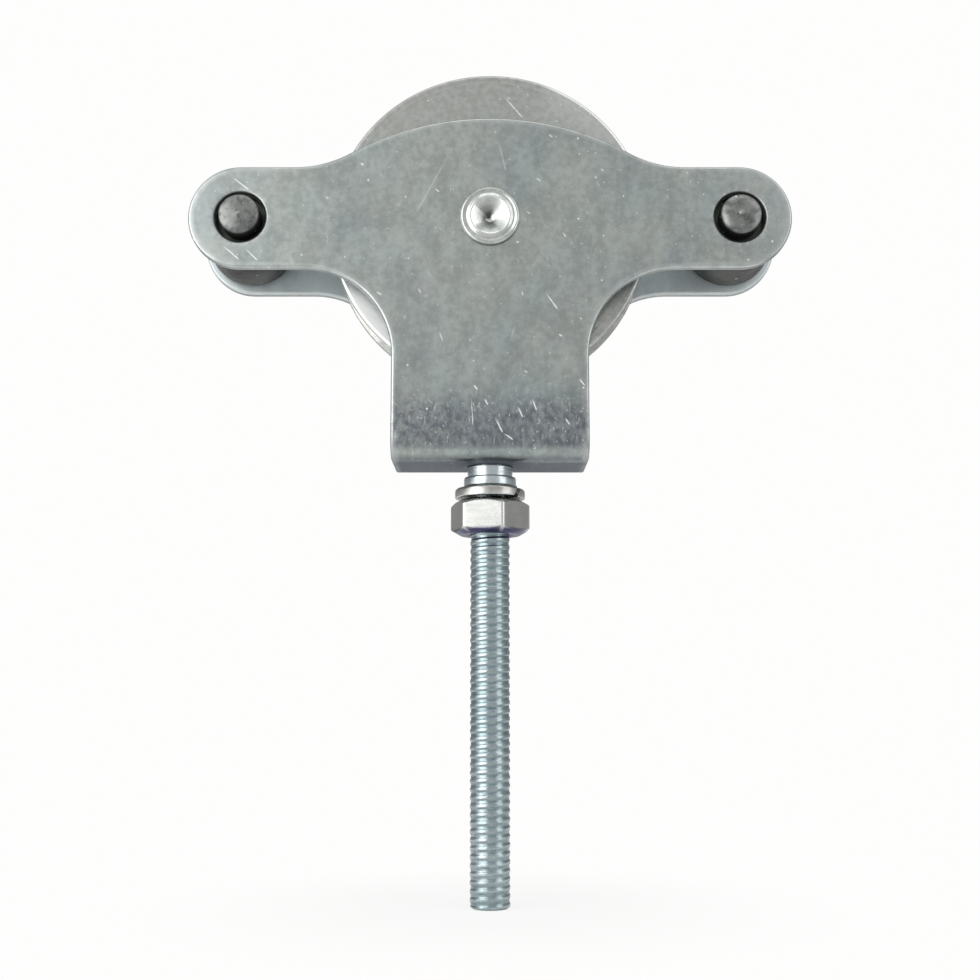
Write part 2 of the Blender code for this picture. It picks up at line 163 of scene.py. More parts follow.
class Skin:
    """A surface: grids of points are gathered and then welded along their shared edges."""

    def __init__(self) -> None:
        """Start with no patch."""
        self._points: list[Grid] = []
        self._charts: list[Grid] = []
        self._looks: dict[str, list[Grid]] = {"wear_and_sheen": [], "painted_light": []}
        self._quads: list[Grid] = []
        self._count = 0

    def add(
        self, points: Grid, chart: Grid | None = None, wear_and_sheen: Grid | float = 0.0, painted_light: Grid | float = 0.0
    ) -> None:
        """Add one patch, a quad between each four neighbouring points.

        Args:
            points: The grid, shape (rows, columns, 3).
            chart: Place of each point on the piece's flat map, shape (rows, columns, 2).
            wear_and_sheen: How much wear and painted highlight each point takes, from 0 to 1.
            painted_light: How far each point takes the colour that its finish paints as light or shade, from
                0 to 1.
        """
        rows, columns = points.shape[:2]
        index = self._count + np.arange(rows * columns).reshape(rows, columns)
        quads = np.stack((index[:-1, :-1], index[:-1, 1:], index[1:, 1:], index[1:, :-1]), axis=-1)
        flat_map = points[..., :2] if chart is None else chart
        self._points.append(points.reshape(-1, 3))
        self._charts.append(flat_map.reshape(-1, 2))
        for name, value in (("wear_and_sheen", wear_and_sheen), ("painted_light", painted_light)):
            self._looks[name].append(np.broadcast_to(value, (rows, columns)).reshape(-1))
        self._quads.append(quads.reshape(-1, 4))
        self._count += rows * columns

    def turned(
        self,
        profile: Grid,
        sides: int,
        axis: Axis,
        centre: Sequence[float],
        wear_and_sheen: Grid | float = 0.0,
        painted_light: Callable[[Grid, Grid, Grid], Grid] | None = None,
    ) -> None:
        """Carry a profile round an axis.

        Each point stands at radius·(cos t, sin t) across the axis and at its height along it.

        Args:
            profile: (radius, height) of each point, shape (points, 2). On the axle, height runs to the front.
            sides: Stretches in one turn.
            axis: The line to turn about.
            centre: A point of that line.
            wear_and_sheen: How much wear and painted highlight each point of the profile takes.
            painted_light: Gives each point's share of the finish's painted light or shade from its radius,
                height and angle.
        """
        one_turn = np.linspace(0.0, TAU, sides + 1)[None, :]
        radius, height, turn = np.broadcast_arrays(profile[:, :1], profile[:, 1:], one_turn)
        across, other = radius * np.cos(turn), radius * np.sin(turn)
        order = (across, other, height) if axis is Axis.STEM else (across, -height, other)
        points = np.stack(order, axis=-1) + np.array(centre)
        chart = np.stack((turn * radius.max(), height), axis=-1)
        worn = np.broadcast_to(np.reshape(wear_and_sheen, (-1, 1)), height.shape)
        self.add(points, chart, worn, 0.0 if painted_light is None else painted_light(radius, height, turn))

    def mesh(self, name: str, sharp: float, closed: bool = True) -> bpy.types.Mesh:
        """Weld the patches, turn the faces outwards and shade them smooth.

        Args:
            name: Name of the mesh.
            sharp: Angle in degrees past which an edge stays sharp.
            closed: Whether the surface has to be closed.

        Returns:
            The mesh, with its flat map "chart" and its attributes "wear" and "zone".
        """
        quads = np.concatenate(self._quads)
        mesh = bpy.data.meshes.new(name)
        mesh.from_pydata(np.concatenate(self._points), [], quads.tolist())
        layer = mesh.uv_layers.new(name="chart")
        layer.data.foreach_set("uv", np.concatenate(self._charts)[quads.ravel()].ravel())
        for look, values in self._looks.items():
            mesh.attributes.new(look, "FLOAT", "POINT").data.foreach_set("value", np.concatenate(values))
        welded = bmesh.new()
        welded.from_mesh(mesh)
        bmesh.ops.remove_doubles(welded, verts=welded.verts[:], dist=WELD)
        bmesh.ops.recalc_face_normals(welded, faces=welded.faces[:])
        if welded.calc_volume(signed=True) < 0.0:
            bmesh.ops.reverse_faces(welded, faces=welded.faces[:])
        open_edges = sum(1 for edge in welded.edges if len(edge.link_faces) != 2)
        if closed and open_edges:
            log.warning("%s has %d edges that don't join two faces", name, open_edges)
        welded.to_mesh(mesh)
        welded.free()
        mesh.shade_smooth()
        mesh.set_sharp_from_angle(angle=math.radians(sharp))
        return mesh


def show(
    mesh: bpy.types.Mesh, material: bpy.types.Material, body: Body, node: str
) -> bpy.types.Object:
    """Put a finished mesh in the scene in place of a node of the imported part.

    Args:
        mesh: The mesh, with its place in its points.
        material: Its finish.
        body: What it moves with.
        node: The node that it stands for.

    Returns:
        The piece.
    """
    mesh.materials.append(material)
    piece = bpy.data.objects.new(mesh.name, mesh)
    bpy.context.scene.collection.objects.link(piece)
    even = piece.modifiers.new("even_shading", "WEIGHTED_NORMAL")
    even.keep_sharp = True
    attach(piece, body.value)
    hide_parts(node)
    log.info("%s: %d faces on %s", piece.name, len(mesh.polygons), body.value)
    return piece


@dataclass(frozen=True)
class Role:
    """What a piece is called, which node it stands for, its body and slot.

    Its edges are sharp past that angle in degrees.
    """

    name: str
    node: str
    body: Body
    slot: str
    sharp: float


class Piece:
    """A physical piece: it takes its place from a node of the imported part, and stands in for it."""

    role: Role

    def __post_init__(self) -> None:
        """Read the corners and the middle of the node's box."""
        self.low, self.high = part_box(self.role.node)
        self.centre = (self.low + self.high) / 2

    def cover(self, skin: Skin) -> None:
        """Add the piece's surfaces to a skin."""
        raise NotImplementedError

    def build(self, material: bpy.types.Material) -> bpy.types.Object:
        """Make the piece's mesh, dress it and put it in the scene.

        Args:
            material: Its finish.

        Returns:
            The piece.
        """
        skin = Skin()
        self.cover(skin)
        mesh = skin.mesh(self.role.name, self.role.sharp)
        return show(mesh, material, self.role.body, self.role.node)


# Sockets of a Mix node that mixes colours
MIX_SHARE = 0
MIX_FIRST = 6
MIX_SECOND = 7
MIX_RESULT = 2


@dataclass(frozen=True)
class Ramp:
    """A smooth rise or fall, from low where a value passes start to high where it passes end."""

    start: float
    end: float
    low: float = 0.0
    high: float = 1.0

    def past(self, line: float) -> "Ramp":
        """The same one, with its ends measured from a line."""
        return Ramp(line + self.start, line + self.end, self.low, self.high)

    def shares_of(self, length: float) -> "Ramp":
        """The same one, with its ends as shares of a length."""
        return Ramp(length * self.start, length * self.end, self.low, self.high)


class Tree:
    """A node tree, with short calls for what the finishes and the studio share.

    A value that a call takes is a socket to link, or a number or colour to set.
    """

    def __init__(self, tree: bpy.types.NodeTree) -> None:
        """Work on that tree."""
        self.tree = tree

    def feed(self, socket: Socket, value: object) -> None:
        """Link a socket to another one, or set its number or colour.

        Args:
            socket: The input.
            value: What it gets.
        """
        if isinstance(value, bpy.types.NodeSocket):
            self.tree.links.new(value, socket)
        elif socket.type == "RGBA":
            socket.default_value = (*value, 1.0)
        else:
            socket.default_value = value

    def new(
        self, kind: str, inputs: dict[str | int, object] | None = None, **settings: object
    ) -> bpy.types.Node:
        """Add a node.

        Args:
            kind: Its type.
            inputs: The value of each input, by the input's name or number.
            settings: Its own settings, which can change what inputs it has.

        Returns:
            The node.
        """
        node = self.tree.nodes.new(kind)
        for name, value in settings.items():
            setattr(node, name, value)
        for key, value in (inputs or {}).items():
            self.feed(node.inputs[key], value)
        return node

    def maths(self, operation: str, first: object, second: object = 0.0, clamp: bool = False) -> Socket:
        """Result of a Math node on two values."""
        node = self.new("ShaderNodeMath", {0: first, 1: second}, operation=operation, use_clamp=clamp)
        return node.outputs[0]

    def product(self, *factors: object) -> Socket:
        """Multiply values. A factor of 1 gets no node.

        Args:
            factors: The values, at least one of them a socket.

        Returns:
            Their product.
        """
        result, *others = (factor for factor in factors if factor != 1.0)
        for factor in others:
            result = self.maths("MULTIPLY", result, factor)
        return result

    def most(self, values: Sequence[Socket]) -> Socket:
        """Find the highest of several values.

        Args:
            values: The values.

        Returns:
            The highest one at each place.
        """
        highest, *others = values
        for value in others:
            highest = self.maths("MAXIMUM", highest, value)
        return highest

    def vector(self, operation: str, *values: object) -> Socket:
        """Result of a Vector Math node: a number for a length, else a vector."""
        node = self.new("ShaderNodeVectorMath", dict(enumerate(values)), operation=operation)
        return node.outputs["Value" if operation == "LENGTH" else "Vector"]

    def split(self, vector: Socket) -> Sequence[Socket]:
        """The X, Y and Z of a vector."""
        return self.new("ShaderNodeSeparateXYZ", {0: vector}).outputs[:]

    def turned(self, vector: Socket, angle: object) -> Sequence[Socket]:
        """The X, Y and Z of a vector once it is turned about Z."""
        node = self.new("ShaderNodeVectorRotate", {"Vector": vector, "Angle": angle}, rotation_type="Z_AXIS")
        return self.split(node.outputs[0])

    def ramp(self, value: object, ramp: Ramp) -> Socket:
        """Carry a value along a ramp."""
        inputs = dict(enumerate((value, ramp.start, ramp.end, ramp.low, ramp.high)))
        return self.new("ShaderNodeMapRange", inputs, interpolation_type="SMOOTHSTEP").outputs[0]

    def grey(self, value: Socket) -> Socket:
        """A grey of that brightness."""
        return self.new("ShaderNodeCombineColor", {0: value, 1: value, 2: value}).outputs[0]

    def blend(self, share: object, first: object, second: object, kind: str = "MIX") -> Socket:
        """Mix two colours."""
        inputs = {MIX_SHARE: share, MIX_FIRST: first, MIX_SECOND: second}
        return self.new("ShaderNodeMix", inputs, data_type="RGBA", blend_type=kind).outputs[MIX_RESULT]

    def layered(self, ground: object, *coats: tuple[object, Triple]) -> Socket:
        """Lay colours over one another.

        Args:
            ground: The lowest colour.
            coats: The share and the colour of each coat, the lowest first.

        Returns:
            The colour that shows.
        """
        for share, colour in coats:
            ground = self.blend(share, ground, colour)
        return ground

    def rays(self) -> tuple[Socket, Socket]:
        """Find what a ray comes from.

        Returns:
            Whether it comes from the camera, and whether it comes from a mirror or through glass.
        """
        path = self.new("ShaderNodeLightPath").outputs
        mirrored = self.maths("MAXIMUM", path["Is Glossy Ray"], path["Is Transmission Ray"])
        return path["Is Camera Ray"], mirrored


@dataclass(frozen=True)
class Noise:
    """Noise with so many lumps in a millimetre, its detail, and its stretch along each axis."""

    scale: float
    detail: float
    stretch: Triple = (1.0, 1.0, 1.0)


@dataclass(frozen=True)
class Relief:
    """Shallow dents of noise: how deep they are, in metres, and how much of them shows."""

    noise: Noise
    depth: float
    strength: float


@dataclass(frozen=True)
class Specks:
    """Round dots scattered one to a cell.

    There are count cells in a millimetre, and a share of them holds a dot of up to that size, its radius in
    millimetres. The shift moves the pattern, for another scatter.
    """

    count: float
    size: float
    share: float
    shift: float = 0.0
    strength: float = 1.0


@dataclass(frozen=True)
class Hairlines:
    """Short straight scratches, one to a cell of the flat pattern.

    There are count cells in a millimetre, and a share of them holds a scratch of up to that half length, with
    that half width. It leans from upright by the mean lean, give or take the spread, in radians.
    """

    count: float
    length: float
    width: float
    share: float
    lean: float
    spread: float
    strength: float = 1.0


@dataclass(frozen=True)
class Scratch:
    """A single scratch.

    Its ends are (across, up from the axle) in millimetres. On the fork they are measured along the sheet, so
    that it can run into the fold and the base.
    """

    start: tuple[float, float]
    end: tuple[float, float]
    width: float = 0.17
    strength: float = 0.9


# From a dot's edge at 0 to its middle at 1
SPECK_CORE = Ramp(0.0, 0.8)
# From a hairline's end at 1 to its middle at 0
HAIRLINE_CORE = Ramp(1.0, 0.1)
# Across a scratch in shares of its half width, and along it in shares of its half length
SCRATCH_CORE = Ramp(1.0, 0.1)
SCRATCH_START = Ramp(-1.0, -0.2)
SCRATCH_END = Ramp(1.0, 0.7)
# Wear and the painted highlight on edges are broken into patches by noise of that detail
RUBBED_PATCHES = Ramp(0.3, 0.6, 0.4, 1.0)
PATCH_DETAIL = 4.0
NOISE_ROUGHNESS = 0.6
# Sums of mottle and clouds at which the metal is roughest and smoothest, and by how much it is so
PITTED = (0.4, 1.5)
PITTED_SPREAD = 0.05


class Paint(Tree):
    """The nodes of one Principled material and its pattern coordinates, in millimetres."""

    def __init__(self, name: str, lay: Map = Map.OBJECT) -> None:
        """Start the material.

        Args:
            name: Name of the material.
            lay: Coordinates that the pattern lies on. Its flat scratches lie on the chart, or across X and Z.
        """
        self.material = bpy.data.materials.new(name)
        self.material.use_nodes = True
        super().__init__(self.material.node_tree)
        self.shader = self.tree.nodes["Principled BSDF"]
        on_chart = lay is Map.CHART
        self.cell_space = "2D" if on_chart else "3D"
        if on_chart:
            source = self.new("ShaderNodeUVMap", uv_map="chart").outputs["UV"]
        else:
            source = self.new("ShaderNodeTexCoord").outputs["Object"]
        in_millimetres = self.new("ShaderNodeVectorMath", {0: source, "Scale": 1.0 / MM}, operation="SCALE")
        self.place = in_millimetres.outputs["Vector"]
        across, up, height = self.split(self.place)
        flat = self.new("ShaderNodeCombineXYZ", {0: across, 1: up if on_chart else height})
        self.flat_place = flat.outputs[0]

    def noise(self, noise: Noise) -> Socket:
        """Add noise.

        Args:
            noise: Its scale, detail and stretch.

        Returns:
            Its value, from about 0.3 to 0.7.
        """
        place = self.vector("MULTIPLY", self.place, noise.stretch)
        inputs = {"Vector": place, "Scale": noise.scale, "Detail": noise.detail, "Roughness": NOISE_ROUGHNESS}
        return self.new("ShaderNodeTexNoise", inputs, noise_dimensions="3D").outputs["Fac"]

    def ramped(self, noise: Noise, ramp: Ramp) -> Socket:
        """Noise carried along a ramp."""
        return self.ramp(self.noise(noise), ramp)

    def carried(self, name: str) -> Socket:
        """An attribute that the mesh carries."""
        return self.new("ShaderNodeAttribute", attribute_name=name).outputs["Fac"]

    def edge_wear_and_sheen(self, patches: float) -> Socket:
        """The mesh's wear and painted highlight, broken up into patches, of which there are that many in a
        millimetre.
        """
        left = self.ramped(Noise(patches, PATCH_DETAIL), RUBBED_PATCHES)
        return self.product(self.carried("wear_and_sheen"), left)

    def shaded(self, colour: Socket, value: Socket, tone: Ramp) -> Socket:
        """Darken and lighten a colour by the tone that a value gives."""
        return self.blend(1.0, colour, self.grey(self.ramp(value, tone)), "MULTIPLY")

    def pitted(self, mottle: Socket, clouds: Socket, roughness: float) -> Socket:
        """Roughness about a mean, lower where the mottle and the clouds are high."""
        spread = Ramp(*PITTED, roughness + PITTED_SPREAD, roughness - PITTED_SPREAD)
        return self.ramp(self.maths("ADD", mottle, clouds), spread)

    def cells(self, count: float, place: Socket, space: str) -> tuple[bpy.types.Node, Sequence[Socket]]:
        """Scattered cells, a number of them in a millimetre, and three chances that each cell keeps."""
        node = self.new("ShaderNodeTexVoronoi", {"Vector": place, "Scale": count}, voronoi_dimensions=space)
        return node, self.new("ShaderNodeSeparateColor", {0: node.outputs["Color"]}).outputs[:]

    def specks(self, dots: Specks) -> Socket:
        """Scatter dots.

        Args:
            dots: Their sizes and strength.

        Returns:
            Their strength in a dot, 0 beside it.
        """
        place = self.vector("ADD", self.place, (dots.shift, dots.shift, dots.shift))
        node, (pick, extent, _) = self.cells(dots.count, place, self.cell_space)
        reach = self.maths("MULTIPLY", extent, dots.size * dots.count)
        near = self.maths("SUBTRACT", 1.0, self.maths("DIVIDE", node.outputs["Distance"], reach), clamp=True)
        is_picked = self.maths("LESS_THAN", pick, dots.share)
        return self.product(self.ramp(near, SPECK_CORE), is_picked, dots.strength)

    def hairlines(self, lines: Hairlines) -> Socket:
        """Scatter short scratches.

        Each cell's offset from its own point is turned by the cell's own angle; the scratch is where the
        turned offset lies within its length and width.

        Args:
            lines: Their sizes and strength.

        Returns:
            Their strength in a scratch, fading to 0 at its ends and sides.
        """
        node, (turning, extent, pick) = self.cells(lines.count, self.flat_place, "2D")
        leaning = {0: turning, 1: 2.0 * lines.spread, 2: lines.lean - lines.spread}
        angle = self.new("ShaderNodeMath", leaning, operation="MULTIPLY_ADD").outputs[0]
        offset = self.vector("SUBTRACT", self.flat_place, node.outputs["Position"])
        across, along, _ = self.turned(offset, angle)
        thin = self.ramp(self.maths("ABSOLUTE", across), Ramp(lines.width, 0.0))
        reach = self.maths("MULTIPLY", extent, lines.length)
        short = self.ramp(self.maths("DIVIDE", self.maths("ABSOLUTE", along), reach), HAIRLINE_CORE)
        return self.product(thin, short, self.maths("LESS_THAN", pick, lines.share), lines.strength)

    def stroke(self, scratch: Scratch, axle: Sequence[float], upwards: float) -> Socket:
        """Draw one scratch on the flat pattern.

        Args:
            scratch: Its ends, width and strength.
            axle: Where the axle lies on the flat pattern, in millimetres.
            upwards: 1 where up on the part is up on the flat pattern, -1 where it is down.

        Returns:
            Its strength along its line, fading to 0 at its ends and sides.
        """
        ends = np.array((scratch.start, scratch.end)) * (1.0, upwards) + axle
        first, last = ends
        run = last - first
        half = float(np.linalg.norm(run)) / 2
        offset = self.vector("SUBTRACT", self.flat_place, (*(first + last) / 2, 0.0))
        along, across, _ = self.turned(offset, -math.atan2(run[1], run[0]))
        thin = self.ramp(self.maths("ABSOLUTE", across), SCRATCH_CORE.shares_of(scratch.width))
        started = self.ramp(along, SCRATCH_START.shares_of(half))
        return self.product(thin, started, self.ramp(along, SCRATCH_END.shares_of(half)), scratch.strength)

    def bump(self, height: Socket, distance: float, strength: float, below: Socket | None = None) -> Socket:
        """Work out the normals of a relief.

        Args:
            height: Height of the relief at each place.
            distance: Metres that a height of 1 stands for.
            strength: How much of it shows.
            below: Normals of a relief that it is laid over.

        Returns:
            The normals.
        """
        node = self.new("ShaderNodeBump", {"Strength": strength, "Distance": distance, "Height": height})
        if below is not None:
            self.feed(node.inputs["Normal"], below)
        return node.outputs["Normal"]

    def dented(self, relief: Relief, below: Socket | None = None) -> Socket:
        """The normals of dents, laid over another relief."""
        return self.bump(self.noise(relief.noise), relief.depth, relief.strength, below)

    def done(self, colour: Socket, roughness: object, metallic: object, normal: Socket) -> bpy.types.Material:
        """Feed the shader.

        Args:
            colour: Base colour.
            roughness: Roughness.
            metallic: Metallic.
            normal: Normals.

        Returns:
            The material.
        """
        inputs = {"Base Color": colour, "Roughness": roughness, "Metallic": metallic, "Normal": normal}
        for name, value in inputs.items():
            self.feed(self.shader.inputs[name], value)
        return self.material


@dataclass(frozen=True)
class PlatedSheet:
    """Cloudy zinc plating on rolled sheet: grey-green clouds, specks and scratches, dull at the fold.

    The fold's foot and the base's underside take painted shade, and the inner faces painted light.

    The ramps over a place are in millimetres: past the fold's upper end for the band, the streaks and the
    crowd of marks, past the base's end for the fold's foot and the base's edge, from the middle for the tips.
    """

    scratches: tuple[Scratch, ...]
    grey: Triple = (0.385, 0.425, 0.405)
    pale: Triple = (0.465, 0.490, 0.465)
    blue: Triple = (0.345, 0.395, 0.400)
    rubbed: Triple = (0.182, 0.197, 0.222)
    # Colour of the streaks along the fold's upper end, and of the painted shade on the fold's foot
    fold: Triple = (0.235, 0.250, 0.275)
    # Painted shade on the base's underside
    under: Triple = (0.215, 0.230, 0.255)
    # Painted light: the inner faces are paler and bluer, and less metallic, to stand in for light that
    # reaches them
    inside: Triple = (0.76, 0.84, 0.86)
    mark: Triple = (0.92, 0.94, 0.92)
    # Colour of the rubbed edges, which also carry a painted highlight along them, and of the lighter arm ends
    edge: Triple = (0.66, 0.69, 0.68)
    graze: Triple = (0.60, 0.62, 0.64)
    roughness: float = 0.33
    under_roughness: float = 0.25
    mark_dullness: float = 0.8
    inside_dullness: float = 0.6
    patches: float = 0.5
    edge_share: float = 0.85

    mottle: Noise = Noise(0.9, 6.0)
    clouds: Noise = Noise(0.10, 5.0)
    cloud_ramp: Ramp = Ramp(0.36, 0.66)
    drift: Noise = Noise(0.055, 4.0, (1.0, 0.7, 1.0))
    drift_ramp: Ramp = Ramp(0.42, 0.66, 0.0, 0.8)
    wisps: Noise = Noise(0.33, 6.0, (1.0, 0.5, 1.0))
    tone: Ramp = Ramp(0.76, 1.24, 0.85, 1.15)
    relief: Relief = Relief(Noise(2.4, 5.0), 0.00002, 0.5)

    waver: Noise = Noise(0.5, 5.0, (1.0, 0.6, 1.0))
    waver_middle: float = 0.5
    waver_reach: float = 6.0
    under_waver: float = 0.12
    grain: Noise = Noise(1.2, 6.0, (1.0, 0.65, 1.0))
    band_rise: Ramp = Ramp(-1.7, -0.7)
    band_fall: Ramp = Ramp(9.0, 2.5)
    band_grain: Ramp = Ramp(0.36, 0.62, 1.0, 0.34)
    streaks: Noise = Noise(0.8, 5.0, (0.35, 3.0, 1.0))
    streak_ramp: Ramp = Ramp(0.46, 0.62, 0.0, 0.22)
    streak_rise: Ramp = Ramp(-3.4, -1.8)
    streak_fall: Ramp = Ramp(1.5, -0.5)
    # Painted shade on the fold's foot, just past the base's end
    fold_foot: Ramp = Ramp(1.8, 0.9)
    fold_grain: Ramp = Ramp(0.35, 0.62, 1.0, 0.75)
    base_edge: Ramp = Ramp(0.6, -0.6)
    base_mottle: Ramp = Ramp(0.35, 0.62, 1.0, 0.8)
    inside_wisps: Ramp = Ramp(0.36, 0.60, 1.0, 0.72)
    tips: Ramp = Ramp(37.0, 47.0, 0.0, 0.22)

    dots: tuple[Specks, ...] = (Specks(0.30, 0.26, 0.35, strength=0.8), Specks(0.80, 0.16, 0.30, 31.0, 0.6))
    long_marks: Hairlines = Hairlines(0.15, 1.3, 0.12, 0.45, 0.5, 0.7, 0.5)
    upright_marks: Hairlines = Hairlines(0.45, 1.2, 0.16, 0.50, 0.12, 0.35, 0.55)
    nicks: Hairlines = Hairlines(1.0, 0.45, 0.12, 0.45, 0.3, 0.9, 0.45)
    fold_dots: Specks = Specks(0.9, 0.25, 0.35, 53.0, 0.5)
    breaks: Noise = Noise(2.6, 3.0)
    break_ramp: Ramp = Ramp(0.40, 0.58, 0.25, 1.0)
    crowd_rise: Ramp = Ramp(-3.5, 0.0)
    crowd_fall: Ramp = Ramp(10.0, 5.0)
    mark_mottle: Ramp = Ramp(0.3, 0.5, 0.55, 1.0)

    def material(self, name: str, axle_along: float, base_end: float, fold_end: float) -> bpy.types.Material:
        """Build the finish on the blank's flat map.

        Args:
            name: Name of the material.
            axle_along: Where the axle lies on the flat map, in metres from the base's middle.
            base_end: Where the flat base ends and the fold begins.
            fold_end: Where the fold ends and the cheek begins.

        Returns:
            The material.
        """
        nodes = Paint(name, Map.CHART)
        across, along, _ = nodes.split(nodes.place)
        run = nodes.maths("ABSOLUTE", along)
        # Share of the inner faces, which take painted light
        inner = nodes.carried("painted_light")
        outside = nodes.maths("SUBTRACT", 1.0, inner)
        mottle, wisps = nodes.noise(self.mottle), nodes.noise(self.wisps)
        clouds = nodes.ramped(self.clouds, self.cloud_ramp)
        drift = nodes.ramped(self.drift, self.drift_ramp)
        colour = nodes.blend(drift, nodes.blend(clouds, self.grey, self.pale), self.blue)
        colour = nodes.shaded(colour, nodes.maths("ADD", mottle, wisps), self.tone)

        waver = nodes.maths("SUBTRACT", nodes.noise(self.waver), self.waver_middle)
        waver = nodes.product(waver, self.waver_reach)
        below = nodes.maths("ADD", run, nodes.product(waver, self.under_waver))
        # Painted shade on the base's underside, which is also rougher
        under = nodes.product(nodes.ramp(below, self.base_edge.past(base_end / MM)), outside)
        # Painted shade on the fold's foot
        fold_foot = nodes.product(nodes.ramp(below, self.fold_foot.past(base_end / MM)), outside)
        grain = nodes.noise(self.grain)
        band, streaks = self.fold_marks(nodes, run, nodes.maths("ADD", run, waver), grain, fold_end / MM)
        colour = nodes.layered(
            colour,
            (nodes.product(band, outside), self.rubbed),
            (nodes.product(streaks, outside), self.fold),
            (nodes.product(fold_foot, nodes.ramp(grain, self.fold_grain)), self.fold),
            # Painted shade on the base's underside
            (nodes.product(under, nodes.ramp(mottle, self.base_mottle)), self.under),
            # Painted light on the inner faces
            (nodes.product(inner, nodes.ramp(wisps, self.inside_wisps)), self.inside),
            (nodes.product(nodes.ramp(nodes.maths("ABSOLUTE", across), self.tips), outside), self.edge),
            (nodes.product(nodes.edge_wear_and_sheen(self.patches), self.edge_share), self.edge),
        )
        bright = self.bright_marks(nodes, run, mottle, axle_along / MM, fold_end / MM)
        colour = nodes.blend(bright, colour, self.mark)
        roughness = nodes.pitted(mottle, clouds, self.roughness)
        roughness = nodes.maths("ADD", roughness, nodes.product(under, self.under_roughness))
        dull = nodes.product(inner, self.inside_dullness)
        dull = nodes.maths("MAXIMUM", nodes.product(bright, self.mark_dullness), dull)
        nodes.feed(nodes.shader.inputs["Specular Tint"], self.graze)
        return nodes.done(colour, roughness, nodes.maths("SUBTRACT", 1.0, dull), nodes.dented(self.relief))

    def fold_marks(
        self, nodes: Paint, run: Socket, reach: Socket, grain: Socket, fold_end: float
    ) -> tuple[Socket, Socket]:
        """Make the rubbed band above the fold and the streaks along the fold's upper end.

        Args:
            nodes: The material's nodes.
            run: Distance from the base's middle along the sheet.
            reach: The same with a waver, for the band's ragged upper edge.
            grain: Fine noise that breaks up the band.
            fold_end: Where the fold ends, in millimetres.

        Returns:
            The band and the streaks.
        """
        rise = nodes.ramp(run, self.band_rise.past(fold_end))
        fall = nodes.ramp(reach, self.band_fall.past(fold_end))
        band = nodes.product(rise, fall, nodes.ramp(grain, self.band_grain))
        rise = nodes.ramp(run, self.streak_rise.past(fold_end))
        fall = nodes.ramp(run, self.streak_fall.past(fold_end))
        return band, nodes.product(nodes.ramped(self.streaks, self.streak_ramp), rise, fall)

    def bright_marks(
        self, nodes: Paint, run: Socket, mottle: Socket, axle_along: float, fold_end: float
    ) -> Socket:
        """Make the bright specks and scratches: scattered all over, crowded near the fold, and the seen ones.

        Args:
            nodes: The material's nodes.
            run: Distance from the base's middle along the sheet.
            mottle: Noise that breaks them up.
            axle_along: Where the axle lies on the flat map, in millimetres.
            fold_end: Where the fold ends, in millimetres.

        Returns:
            How bright each place is.
        """
        broken = nodes.ramped(self.breaks, self.break_ramp)
        crowd = nodes.most(
            (nodes.hairlines(self.upright_marks), nodes.hairlines(self.nicks), nodes.specks(self.fold_dots))
        )
        rise = nodes.ramp(run, self.crowd_rise.past(fold_end))
        fall = nodes.ramp(run, self.crowd_fall.past(fold_end))
        marks = [nodes.specks(dots) for dots in self.dots]
        marks.append(nodes.product(nodes.hairlines(self.long_marks), broken))
        marks.append(nodes.product(crowd, rise, fall, broken))
        marks += [nodes.stroke(scratch, (0.0, -axle_along), -1.0) for scratch in self.scratches]
        return nodes.product(nodes.most(marks), nodes.ramp(mottle, self.mark_mottle))


def two_sizes(share: float) -> tuple[Specks, Specks]:
    """Large and small dots, in that share of their cells."""
    return Specks(0.6, 0.45, share), Specks(1.3, 0.26, share, 17.0)


